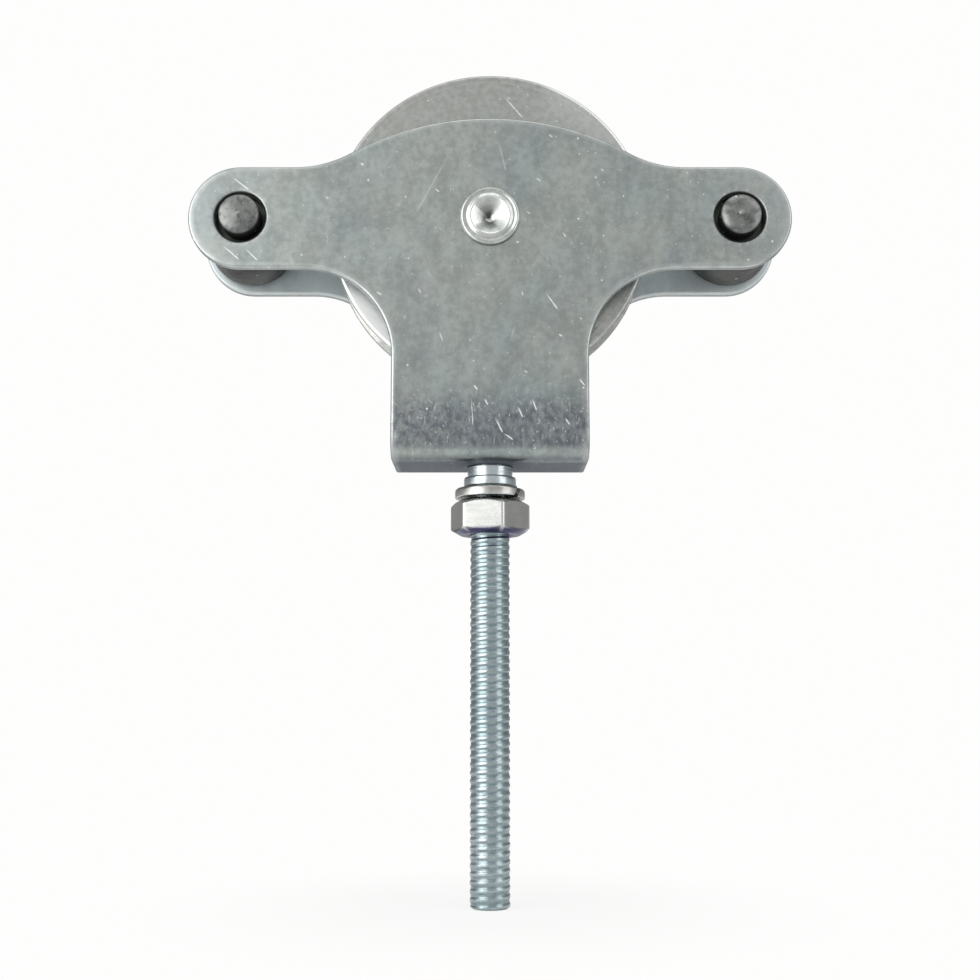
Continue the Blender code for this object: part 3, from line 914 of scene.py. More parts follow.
@dataclass(frozen=True)
class TurnedMetal:
    """Metal off the lathe: fine rings about its axis, clouds and specks, and a colour painted as light or
    shade on part of it.
    """

    base: Triple
    cloud: Triple
    speck: Triple = (0.90, 0.91, 0.88)
    edge: Triple = (0.80, 0.82, 0.81)
    # Colour of painted light or shade: dark for the painted shade in the rivet's dimple, near white for the
    # painted highlight on the sheave's rim
    painted_light: Triple = (0.05, 0.052, 0.05)
    roughness: float = 0.34
    dots: tuple[Specks, ...] = two_sizes(0.25)
    speck_dullness: float = 0.6
    patches: float = 0.6
    axis: Axis = Axis.AXLE
    scratches: tuple[Scratch, ...] = ()
    rings: Noise = Noise(3.0, 3.0)
    ring_share: float = 0.3
    ring_depth: float = 0.000004
    clouds: Noise = Noise(0.14, 5.0)
    cloud_ramp: Ramp = Ramp(0.35, 0.66)
    mottle: Noise = Noise(1.0, 6.0)
    mark_mottle: Ramp = Ramp(0.35, 0.55, 0.4, 1.0)
    tone: Ramp = Ramp(0.45, 0.85, 0.87, 1.13)
    relief: Relief = Relief(Noise(2.2, 5.0), 0.000015, 0.4)

    def material(self, name: str, centre: Sequence[float]) -> bpy.types.Material:
        """Build the finish.

        Args:
            name: Name of the material.
            centre: A point of the turning axis, in metres.

        Returns:
            The material.
        """
        nodes = Paint(name)
        middle = tuple(value / MM for value in centre)
        keep = (1.0, 0.0, 1.0) if self.axis is Axis.AXLE else (1.0, 1.0, 0.0)
        offset = nodes.vector("MULTIPLY", nodes.vector("SUBTRACT", nodes.place, middle), keep)
        radius = nodes.vector("LENGTH", offset)
        rings = {"W": radius, "Scale": self.rings.scale, "Detail": self.rings.detail}
        ring = nodes.new("ShaderNodeTexNoise", rings, noise_dimensions="1D").outputs["Fac"]
        clouds = nodes.ramped(self.clouds, self.cloud_ramp)
        mottle = nodes.noise(self.mottle)
        ringed = nodes.maths("ADD", mottle, nodes.product(ring, self.ring_share))
        colour = nodes.shaded(nodes.blend(clouds, self.base, self.cloud), ringed, self.tone)
        marks = [nodes.specks(dots) for dots in self.dots]
        marks += [nodes.stroke(scratch, middle[::2], 1.0) for scratch in self.scratches]
        specks = nodes.product(nodes.most(marks), nodes.ramp(mottle, self.mark_mottle))
        colour = nodes.layered(
            colour,
            # Painted light or shade where the mesh asks for it
            (nodes.carried("painted_light"), self.painted_light),
            (nodes.edge_wear_and_sheen(self.patches), self.edge),
            (specks, self.speck),
        )
        metallic = nodes.maths("SUBTRACT", 1.0, nodes.product(specks, self.speck_dullness))
        relief = nodes.dented(self.relief, below=nodes.bump(ring, self.ring_depth, 1.0))
        return nodes.done(colour, nodes.pitted(mottle, clouds, self.roughness), metallic, relief)


@dataclass(frozen=True)
class StemZinc:
    """Blue-bright zinc on a rolled thread: rubbed crests, dull roots and soft drifts, and painted light on
    the collar above.
    """

    base: Triple = (0.31, 0.39, 0.41)
    pale: Triple = (0.40, 0.47, 0.49)
    root: Triple = (0.19, 0.25, 0.28)
    # Colour of the rubbed crests, and of the painted light on the collar
    crest: Triple = (0.70, 0.76, 0.78)
    drift: Noise = Noise(0.12, 4.0, (1.0, 1.0, 0.6))
    drift_ramp: Ramp = Ramp(0.38, 0.64)
    mottle: Noise = Noise(1.2, 5.0, (0.6, 0.6, 1.6))
    root_ramp: Ramp = Ramp(0.46, 0.68, 0.0, 0.75)
    patches: float = 0.9
    crest_share: float = 0.4
    # Painted light: the collar above the thread is lightened towards the crest colour
    collar_light: Ramp = Ramp(-0.3, 0.2, 0.0, 0.7)
    roughness: Ramp = Ramp(0.3, 0.7, 0.16, 0.30)
    relief: Relief = Relief(Noise(1.5, 4.0, (0.5, 0.5, 1.8)), 0.00005, 0.6)

    def material(self, name: str) -> bpy.types.Material:
        """Build the finish.

        Args:
            name: Name of the material.

        Returns:
            The material.
        """
        nodes = Paint(name)
        mottle = nodes.noise(self.mottle)
        _, _, height = nodes.split(nodes.place)
        colour = nodes.layered(
            nodes.blend(nodes.ramped(self.drift, self.drift_ramp), self.base, self.pale),
            (nodes.ramp(mottle, self.root_ramp), self.root),
            (nodes.product(nodes.edge_wear_and_sheen(self.patches), self.crest_share), self.crest),
            # Painted light on the collar
            (nodes.ramp(height, self.collar_light), self.crest),
        )
        return nodes.done(colour, nodes.ramp(mottle, self.roughness), 1.0, nodes.dented(self.relief))


@dataclass(frozen=True)
class NutZinc:
    """Bright zinc on the nut: clean flats with light rubs, and painted shade with a purple-blue tint round
    the lower end.
    """

    base: Triple = (0.50, 0.51, 0.49)
    pale: Triple = (0.555, 0.56, 0.54)
    # Painted shade round the nut's lower end, with a purple-blue tint
    tinted_foot_shade: Triple = (0.075, 0.075, 0.15)
    edge: Triple = (0.90, 0.91, 0.89)
    clouds: Noise = Noise(0.35, 4.0)
    cloud_ramp: Ramp = Ramp(0.38, 0.64)
    rubs: Noise = Noise(0.9, 5.0, (0.5, 0.5, 2.2))
    rub_ramp: Ramp = Ramp(0.52, 0.75, 0.0, 0.35)
    foot_shade_waver: float = 0.4
    foot_shade_ramp: Ramp = Ramp(1.3, 0.6)
    edge_share: float = 0.6
    roughness: Ramp = Ramp(0.3, 0.7, 0.18, 0.30)
    relief: Relief = Relief(Noise(2.2, 4.0), 0.00002, 0.35)

    def material(self, name: str, foot: float) -> bpy.types.Material:
        """Build the finish.

        Args:
            name: Name of the material.
            foot: Height of the nut's lower face, in metres.

        Returns:
            The material.
        """
        nodes = Paint(name)
        rubs = nodes.noise(self.rubs)
        _, _, height = nodes.split(nodes.place)
        wavering = nodes.maths("ADD", height, nodes.product(rubs, self.foot_shade_waver))
        colour = nodes.layered(
            nodes.blend(nodes.ramped(self.clouds, self.cloud_ramp), self.base, self.pale),
            (nodes.ramp(rubs, self.rub_ramp), self.base),
            # Painted shade, with a purple-blue tint, round the lower end
            (nodes.ramp(wavering, self.foot_shade_ramp.past(foot / MM)), self.tinted_foot_shade),
            (nodes.product(nodes.carried("wear_and_sheen"), self.edge_share), self.edge),
        )
        return nodes.done(colour, nodes.ramp(rubs, self.roughness), 1.0, nodes.dented(self.relief))


def paired(across: Grid | float, along: Grid | float) -> Grid:
    """Points from their two coordinates, either of which may be one number."""
    return np.stack(np.broadcast_arrays(across, along), axis=-1)


@dataclass
class Path:
    """An outline on a sheet, walked anticlockwise, with the direction into the sheet at each point."""

    places: list[Grid] = field(default_factory=list)
    inwards: list[Grid] = field(default_factory=list)

    def line(self, start: Sequence[float], end: Sequence[float], steps: int) -> None:
        """Add a straight run. Into the sheet is a quarter turn anticlockwise from the run.

        Args:
            start: Its first point, (across, along).
            end: Its last point.
            steps: Stretches in it.
        """
        share = np.linspace(0.0, 1.0, steps + 1)[:, None]
        first, last = np.array(start, float), np.array(end, float)
        run = (last - first) / np.linalg.norm(last - first)
        self.places.append(first + share * (last - first))
        self.inwards.append(np.tile((-run[1], run[0]), (steps + 1, 1)))

    def arc(self, centre: Sequence[float], radius: float, start: float, end: float, steps: int) -> None:
        """Add an arc: centre + radius·(cos t, sin t). Into the sheet is to the centre where t grows.

        Args:
            centre: Its centre.
            radius: Its radius.
            start: First angle, in radians.
            end: Last angle.
            steps: Stretches in it.
        """
        turn = np.linspace(start, end, steps + 1)
        ray = paired(np.cos(turn), np.sin(turn))
        self.places.append(np.array(centre, float) + radius * ray)
        self.inwards.append(-ray if end > start else ray)

    def inset(self, distance: float) -> Grid:
        """Move the path's points into the sheet and drop the repeated ones.

        Args:
            distance: How far they move.

        Returns:
            The points, shape (points, 2).
        """
        points = np.concatenate(self.places) + distance * np.concatenate(self.inwards)
        step = np.linalg.norm(np.diff(points, axis=0), axis=1)
        return points[np.concatenate(([True], step > WELD))]

    def mirrored(self) -> "Path":
        """The same path on the other side of the middle, walked so that the sheet stays on the left."""
        both = (self.places, self.inwards)
        return Path(*([part[::-1] * FLIP for part in reversed(parts)] for parts in both))


@dataclass
class Fork(Piece):
    """The fork: a punched blank with rounded edges and seven holes, folded into a U.

    All surfaces are worked out on the flat blank, as (across, along, height), and then bent by one rule.
    """

    role: Role = Role("fork", "fork_bracket", Body.FRAME, "zinc_plate", 50.0)
    sheet: float = 1.9 * MM
    bend_radius: float = 3.4 * MM
    neck_width: float = 30.7 * MM
    neck_fillet: float = 14.0 * MM
    arm_flat: float = 8.4 * MM
    crown_fillet: float = 18.0 * MM
    edge_round: float = 0.45 * MM
    pin_hole: float = 7.3 * MM
    roller_hole: float = 7.95 * MM
    tenon_hole: float = 6.4 * MM
    # Wear on the rounded edges, partly a painted highlight along them, and how far it reaches into the faces
    rub_and_sheen: float = 0.55
    rub_and_sheen_width: float = 0.7 * MM
    middle_rows: tuple[float, float] = (0.4, 0.6)
    edge_steps: int = 6
    fold_steps: int = 14
    side_steps: int = 8
    fillet_steps: int = 28
    cut_steps: int = 2
    end_steps: int = 48
    crown_fillet_steps: int = 20
    crown_steps: int = 28
    neck_points: int = 29
    arm_points: int = 11
    base_points: int = 13

    def __post_init__(self) -> None:
        """Take the fork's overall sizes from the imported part."""
        super().__post_init__()
        wheel_low, wheel_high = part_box("sheave")
        roller_low, roller_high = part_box("guide_roller_right")
        self.depth = self.high.y - self.low.y
        self.axle_height = (wheel_low.z + wheel_high.z) / 2
        self.reach = (roller_low.x + roller_high.x) / 2
        self.arm_half = self.high.x - self.reach
        self.crown_lift = self.high.z - self.axle_height - self.arm_half
        self.underside = self.low.z
        self.flat_half = self.depth / 2 - self.bend_radius
        self.neutral = self.bend_radius - self.sheet / 2
        self.fold_end = self.flat_half + self.neutral * math.pi / 2
        self.axle_along = self.fold_end + self.axle_height - self.underside - self.bend_radius
        self.fold_line = self.fold_end - self.axle_along
        self.half_neck = self.neck_width / 2
        self.shoulder = self.reach - self.arm_flat
        neck_edge, arm_edge = self.half_neck - self.edge_round, self.arm_half - self.edge_round
        self.neck_samples = np.linspace(-neck_edge, neck_edge, self.neck_points)
        self.arm_samples = np.linspace(-arm_edge, arm_edge, self.arm_points)

    def bent(self, flat: Grid) -> Grid:
        """Fold points of the blank: straight base, a quarter turn about the fold's centre, then upright.

        Args:
            flat: (across, along, height) of each point, from the base's middle and up to the inside.

        Returns:
            The points in the part's frame.
        """
        across, along, height = flat[..., 0], flat[..., 1], flat[..., 2]
        run = np.abs(along)
        turn = np.clip((run - self.flat_half) / self.neutral, 0.0, math.pi / 2)
        reach = self.neutral - height
        depth = np.minimum(run, self.flat_half) + reach * np.sin(turn)
        rise = self.neutral - reach * np.cos(turn) + np.maximum(run - self.fold_end, 0.0)
        middle = self.underside + self.sheet / 2
        return np.stack((across, np.where(along < 0.0, -depth, depth), middle + rise), axis=-1)

    def neck_side(self) -> Path:
        """Draw the right side of a cheek, from the fold up to the cut that parts the arm from the middle.

        Returns:
            The path, as (across, up from the axle).
        """
        turn = (self.half_neck + self.neck_fillet, -self.arm_half - self.neck_fillet)
        path = Path()
        path.line((self.half_neck, self.fold_line), (self.half_neck, turn[1]), self.side_steps)
        path.arc(turn, self.neck_fillet, math.pi, math.pi / 2, self.fillet_steps)
        path.line((turn[0], -self.arm_half), (self.shoulder, -self.arm_half), self.cut_steps)
        return path

    def arm_end(self) -> Path:
        """Draw the right arm outside the cut, from its lower edge round the end to its upper edge.

        Returns:
            The path, as (across, up from the axle).
        """
        path = Path()
        path.line((self.shoulder, -self.arm_half), (self.reach, -self.arm_half), self.side_steps)
        path.arc((self.reach, 0.0), self.arm_half, -math.pi / 2, math.pi / 2, self.end_steps)
        path.line((self.reach, self.arm_half), (self.shoulder, self.arm_half), self.side_steps)
        return path

    def crown_side(self) -> Path:
        """Draw the crown's right half, from the cut at the arm's upper edge to the top.

        The fillet is level at the cut and the crown at the top, and they touch, so that their centres stand
        (shoulder² + lift²) / (2·lift) apart.

        Returns:
            The path, as (across, up from the axle).
        """
        centres = (self.shoulder**2 + self.crown_lift**2) / (2 * self.crown_lift)
        radius = centres - self.crown_fillet
        middle = (0.0, self.arm_half + self.crown_lift - radius)
        fillet = (self.shoulder, self.arm_half + self.crown_fillet)
        lean = math.atan2(fillet[1] - middle[1], fillet[0])
        path = Path()
        path.arc(fillet, self.crown_fillet, -math.pi / 2, lean - math.pi, self.crown_fillet_steps)
        path.arc(middle, radius, lean, math.pi / 2, self.crown_steps)
        return path

    def put(self, skin: Skin, region: Region, flat: Grid, height: Grid | float, wear_and_sheen: Grid | float) -> None:
        """Fold a patch of the blank and add it.

        Args:
            skin: Where it goes.
            region: Where it lies on the blank.
            flat: (across, up from the axle) on a cheek, (across, along) on the base.
            height: Height in the sheet's thickness.
            wear_and_sheen: How much wear and painted highlight each point takes.
        """
        chart = flat.copy()
        if region is not Region.BASE:
            chart[..., 1] += self.axle_along
        if region is Region.FRONT:
            chart = -chart
        points = np.concatenate((chart, np.broadcast_to(height, chart.shape[:-1])[..., None]), axis=-1)
        # The inner faces take the finish's painted light
        is_inner = smooth_step(np.asarray(height, float), 0.0, self.sheet / 2)
        skin.add(self.bent(points), chart, wear_and_sheen, is_inner)

    def edge(self, skin: Skin, region: Region, places: Grid, inwards: Grid) -> None:
        """Carry the sheet's rounded edge along a path.

        Each point moves into the sheet by round·(1 - cos t) as its height nears a face as round·sin t does.

        Args:
            skin: Where the patch goes.
            region: Where the path lies on the blank.
            places: The punched line, shape (points, 2).
            inwards: Direction into the sheet at each point.
        """
        turn = np.linspace(math.pi / 2, 0.0, self.edge_steps + 1)
        inset = self.edge_round * (1 - np.cos(turn))
        rise = self.sheet / 2 - self.edge_round + self.edge_round * np.sin(turn)
        inset = np.concatenate((inset, inset[::-1]))
        height = np.concatenate((rise, -rise[::-1]))
        # Wear and painted highlight, most on the edge's outer side
        rubbed = np.maximum(self.rub_and_sheen, np.concatenate((np.cos(turn), np.cos(turn)[::-1])))
        self.put(skin, region, places + inset[:, None, None] * inwards, height[:, None], rubbed[:, None])

    def holed(self, skin: Skin, region: Region, across: float, hole: float, loop: Grid, rubbed: Grid) -> None:
        """Fill both faces of the sheet between a round hole and a loop round it, and round the hole's edge.

        On each ray from the hole's centre the rows stand at a share of the way from the hole's edge to the
        loop: one row lies close to the hole and one to the loop, so that the wear and the painted highlight
        stay near the punched edges.

        Args:
            skin: Where the patches go.
            region: Where they lie on the blank.
            across: How far across the hole's centre is.
            hole: The hole's diameter.
            loop: The loop's points, closed.
            rubbed: How much wear and painted highlight the sheet takes at each point of the loop.
        """
        centre = np.array((across, 0.0))
        ray = loop - centre
        ray = ray / np.linalg.norm(ray, axis=1)[:, None]
        rim = centre + ray * (hole / 2 + self.edge_round)
        span = np.linalg.norm(loop - rim, axis=1)
        close = self.rub_and_sheen_width / span
        first, second = self.middle_rows
        rows = np.stack(np.broadcast_arrays(0.0, close, first, second, 1.0 - close, 1.0))
        flat = rim + rows[..., None] * (loop - rim)
        wear_and_sheen = np.zeros(flat.shape[:2])
        wear_and_sheen[-1] = rubbed
        for height in (-self.sheet / 2, self.sheet / 2):
            self.put(skin, region, flat, height, wear_and_sheen)
        self.edge(skin, region, centre + ray * hole / 2, ray)

    def cheek(self, skin: Skin, region: Region) -> None:
        """Make one cheek: the middle round the pin's hole and an arm round each roller's hole.

        Args:
            skin: Where the patches go.
            region: Which cheek it is.
        """
        side, end, crown = self.neck_side(), self.arm_end(), self.crown_side()
        lower, outer, upper = (path.inset(self.edge_round) for path in (side, end, crown))
        cut, foot = paired(self.shoulder, self.arm_samples), paired(self.neck_samples, self.fold_line)
        on_cut = np.zeros(len(cut) - 2)
        right = np.concatenate((lower, cut[1:-1], upper))
        right_rub = np.concatenate((np.full(len(lower), self.rub_and_sheen), on_cut, np.full(len(upper), self.rub_and_sheen)))
        middle = np.concatenate((foot[:-1], right, right[-2::-1] * FLIP))
        middle_rub = np.concatenate((np.zeros(len(foot) - 1), right_rub, right_rub[-2::-1]))
        middle_rub[0] = self.rub_and_sheen
        arm = np.concatenate((outer, cut[-2::-1]))
        arm_rub = np.concatenate((np.full(len(outer), self.rub_and_sheen), on_cut, [self.rub_and_sheen]))
        self.holed(skin, region, 0.0, self.pin_hole, middle, middle_rub)
        self.holed(skin, region, self.reach, self.roller_hole, arm, arm_rub)
        self.holed(skin, region, -self.reach, self.roller_hole, arm[::-1] * FLIP, arm_rub[::-1])
        for path in (side, end, crown, side.mirrored(), end.mirrored(), crown.mirrored()):
            self.edge(skin, region, np.concatenate(path.places), np.concatenate(path.inwards))

    def base(self, skin: Skin) -> None:
        """Make the base round the tenon's hole, the two quarter turns and the rounded sides of that strip.

        Args:
            skin: Where the patches go.
        """
        side_line = self.neck_samples[-1]
        lines = np.linspace(-self.flat_half, self.flat_half, self.base_points)
        half_loop = np.concatenate((paired(self.neck_samples, -self.flat_half), paired(side_line, lines)[1:]))
        loop = np.concatenate((half_loop, -half_loop[1:]))
        at_side = self.rub_and_sheen * (np.abs(loop[:, 0]) > side_line - WELD)
        self.holed(skin, Region.BASE, 0.0, self.tenon_hole, loop, at_side)
        folds = np.linspace(self.flat_half, self.fold_end, self.fold_steps + 1)
        quarter = np.stack(np.meshgrid(self.neck_samples, folds), axis=-1)
        at_side = self.rub_and_sheen * (np.abs(quarter[..., 0]) > side_line - WELD)
        strip = np.concatenate((-folds[:0:-1], lines, folds[1:]))
        for turn in (1.0, -1.0):
            for height in (-self.sheet / 2, self.sheet / 2):
                self.put(skin, Region.BASE, turn * quarter, height, at_side)
        for turn in (1.0, -1.0):
            inwards = np.tile((-turn, 0.0), (len(strip), 1))
            self.edge(skin, Region.BASE, paired(turn * self.half_neck, strip), inwards)

    def cover(self, skin: Skin) -> None:
        """Add both cheeks and the base.

        Args:
            skin: Where they go.
        """
        self.cheek(skin, Region.FRONT)
        self.cheek(skin, Region.REAR)
        self.base(skin)


@dataclass(frozen=True)
class HighlightArc:
    """An arc of the sheave's rim that takes a painted highlight.

    It fades in between two depths below the rim's edge, and between two cosines of the angle from its
    bearing, which is measured from the right over the top.
    """

    bearing: float
    depths: tuple[float, float]
    cosines: tuple[float, float]


@dataclass
class Sheave(Piece):
    """The grooved wheel: flat rim faces, rounded lips, a round-bottomed groove, a recessed web and a hub.

    A painted highlight lies in a thin arc on its upper right and a broad one on its lower left.
    """

    role: Role = Role("wheel", "sheave", Body.SHEAVE, "sheave_zinc", 50.0)
    bore: float = 10.22 * MM
    bore_round: float = 0.3 * MM
    hub: float = 17.0 * MM
    hub_round: float = 0.4 * MM
    hub_flare: float = 0.6 * MM
    web: float = 4.4 * MM
    web_hub_round: float = 0.5 * MM
    web_rim_round: float = 0.6 * MM
    rim_flare: float = 1.0 * MM
    rim_back: float = 2.6 * MM
    rim_back_round: float = 0.35 * MM
    rim_width: float = 8.4 * MM
    rim_round: float = 0.60 * MM
    lip: float = 0.9 * MM
    lip_round: float = 0.25 * MM
    groove_depth: float = 5.0 * MM
    groove_radius: float = 2.5 * MM
    groove_round: float = 2.2 * MM
    wall_foot: float = 3.0 * MM
    wall_flare: float = 0.2 * MM
    wall_round: float = 0.6 * MM
    lip_rub: float = 0.8
    lip_rub_width: float = 0.5 * MM
    # Arcs of the rim that take a painted highlight
    arcs: tuple[HighlightArc, ...] = (
        HighlightArc(math.radians(45.0), (0.7 * MM, 0.4 * MM), (0.88, 0.96)),
        HighlightArc(math.radians(225.0), (1.6 * MM, 0.9 * MM), (0.80, 0.93)),
    )
    round_steps: int = 6
    sides: int = 180

    def __post_init__(self) -> None:
        """Take the wheel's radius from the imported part."""
        super().__post_init__()
        self.radius = (self.high.z - self.low.z) / 2

    def painted_highlights(self, radius: Grid, height: Grid, turn: Grid) -> Grid:
        """Find where the rim's front takes a painted highlight.

        Args:
            radius: Distance of each point from the axle.
            height: Its height along the axle, to the front.
            turn: Its angle about the axle, from the right over the top.

        Returns:
            How much painted highlight each point takes, from 0 to 1.
        """
        arcs = [
            smooth_step(radius, *(self.radius - depth for depth in arc.depths))
            * smooth_step(np.cos(turn - arc.bearing), *arc.cosines)
            for arc in self.arcs
        ]
        return np.maximum.reduce(arcs) * (height > self.rim_width / 2 - self.lip)

    def cover(self, skin: Skin) -> None:
        """Turn the wheel.

        Args:
            skin: Where it goes.
        """
        half_hub, half_rim, half_web = (self.high.y - self.low.y) / 2, self.rim_width / 2, self.web / 2
        bottom = self.radius - self.groove_depth
        back, hub = bottom - self.rim_back, self.hub / 2
        upper = [
            (self.bore / 2, half_hub, self.bore_round),
            (hub, half_hub, self.hub_round),
            (hub + self.hub_flare, half_web, self.web_hub_round),
            (back - self.rim_flare, half_web, self.web_rim_round),
            (back, half_rim, self.rim_back_round),
            (self.radius, half_rim, self.rim_round),
            (self.radius, half_rim - self.lip, self.lip_round),
            (bottom + self.wall_foot, self.groove_radius + self.wall_flare, self.wall_round),
            (bottom, self.groove_radius, self.groove_round),
        ]
        profile = softened(upper + mirror_image(upper), self.round_steps, closed=True)
        across, up = profile[:, 0], np.abs(profile[:, 1])
        on_lip = smooth_step(across, self.radius - self.lip_rub_width, self.radius)
        on_lip = on_lip * smooth_step(up, half_rim - self.lip, half_rim)
        skin.turned(profile, self.sides, Axis.AXLE, self.centre, self.lip_rub * on_lip, self.painted_highlights)


@dataclass
class Rivet(Piece):
    """The riveted pin: a rolled rim sloping up to a conical dimple in front, a low domed head behind."""

    role: Role = Role("rivet", "axle_rivet", Body.FRAME, "rivet_zinc", 40.0)
    shank: float = 7.1 * MM
    seat_gap: float = 0.15 * MM
    rim: float = 9.4 * MM
    rim_height: float = 0.8 * MM
    rim_bevel: float = 0.25 * MM
    rim_foot_share: float = 0.05
    rim_foot_round: float = 0.05 * MM
    bulge_share: float = 0.4
    bulge_round: float = 0.25 * MM
    roll_width: float = 0.35 * MM
    roll_share: float = 0.80
    roll_round: float = 0.20 * MM
    groove: float = 7.5 * MM
    groove_depth: float = 0.36 * MM
    groove_round: float = 0.22 * MM
    dimple: float = 5.9 * MM
    dimple_depth: float = 1.9 * MM
    dimple_lip: float = 0.12 * MM
    dimple_lip_round: float = 0.26 * MM
    dimple_tip: float = 0.45 * MM
    dimple_tip_round: float = 0.44 * MM
    head: float = 11.9 * MM
    head_height: float = 1.6 * MM
    head_edge_share: float = 0.3
    head_edge_round: float = 0.25 * MM
    dome_share: float = 0.62
    dome_round: float = 1.6 * MM
    # The painted highlight on the thin rim round the dimple stands this far out from the dimple's edge and
    # fades over these distances
    crest_rub: float = 0.1 * MM
    lip_highlight_fade: tuple[float, float] = (0.10 * MM, 0.28 * MM)
    # Painted shade on the dimple's upper left, fading towards the dimple's edge
    dimple_shade: float = 0.92
    dimple_shade_bearing: float = math.radians(132.0)
    dimple_shade_cosines: tuple[float, float] = (-0.1, 0.8)
    dimple_shade_share: float = 0.6
    round_steps: int = 8
    sides: int = 96

    def painted_dimple_shade(self, radius: Grid, height: Grid, turn: Grid) -> Grid:
        """Find where the dimple takes painted shade: on its upper left, fading towards its edge.

        Args:
            radius: Distance of each point from the pin's axis.
            height: Its height along the pin, to the front.
            turn: Its angle about the axis, from the right over the top.

        Returns:
            How much painted shade each point takes, from 0 to 1.
        """
        upper_left = smooth_step(np.cos(turn - self.dimple_shade_bearing), *self.dimple_shade_cosines)
        in_dimple = 1.0 - smooth_step(radius, self.dimple_shade_share * self.dimple / 2, self.dimple / 2)
        return self.dimple_shade * upper_left * in_dimple * (height > 0.0)

    def cover(self, skin: Skin) -> None:
        """Turn the rivet about the axle.

        Args:
            skin: Where it goes.
        """
        fork_low, fork_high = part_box("fork_bracket")
        wheel_low, wheel_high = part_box("sheave")
        seat = (fork_high.y - fork_low.y) / 2 + self.seat_gap
        crest, head_top = seat + self.rim_height, -seat - self.head_height
        rim, head, shank = self.rim / 2, self.head / 2, self.shank / 2
        corners = [
            (0.0, crest - self.dimple_depth, 0.0),
            (self.dimple_tip, crest - self.dimple_depth, self.dimple_tip_round),
            (self.dimple / 2 + self.dimple_lip, crest, self.dimple_lip_round),
            (self.groove / 2, crest - self.groove_depth, self.groove_round),
            (rim - self.roll_width, seat + self.roll_share * self.rim_height, self.roll_round),
            (rim, seat + self.bulge_share * self.rim_height, self.bulge_round),
            (rim, seat + self.rim_foot_share * self.rim_height, self.rim_foot_round),
            (rim - self.rim_bevel, seat, 0.0),
            (shank, seat, 0.0),
            (shank, -seat, 0.0),
            (head, -seat, 0.0),
            (head, -seat - self.head_edge_share * self.head_height, self.head_edge_round),
            (self.dome_share * head, head_top, self.dome_round),
            (0.0, head_top, 0.0),
        ]
        profile = softened(corners, self.round_steps)
        # Painted highlight on the rim round the dimple
        from_crest = np.abs(profile[:, 0] - self.dimple / 2 - self.crest_rub)
        lip_highlight = (1.0 - smooth_step(from_crest, *self.lip_highlight_fade)) * (profile[:, 1] > seat)
        # The dimple's upper left takes painted shade
        skin.turned(profile, self.sides, Axis.AXLE, (wheel_low + wheel_high) / 2, lip_highlight, self.painted_dimple_shade)


@dataclass
class Sleeve(Piece):
    """The spacer tube on the pin, with broken edges."""

    role: Role = Role("sleeve", "axle_sleeve", Body.FRAME, "sleeve_steel", 40.0)
    bore: float = 7.3 * MM
    wall: float = 1.4 * MM
    edge_round: float = 0.15 * MM
    round_steps: int = 4
    sides: int = 72

    def cover(self, skin: Skin) -> None:
        """Turn the tube.

        Args:
            skin: Where it goes.
        """
        half, inner = (self.high.y - self.low.y) / 2, self.bore / 2
        upper = [(inner, half, self.edge_round), (inner + self.wall, half, self.edge_round)]
        profile = softened(upper + mirror_image(upper), self.round_steps, closed=True)
        skin.turned(profile, self.sides, Axis.AXLE, self.centre)


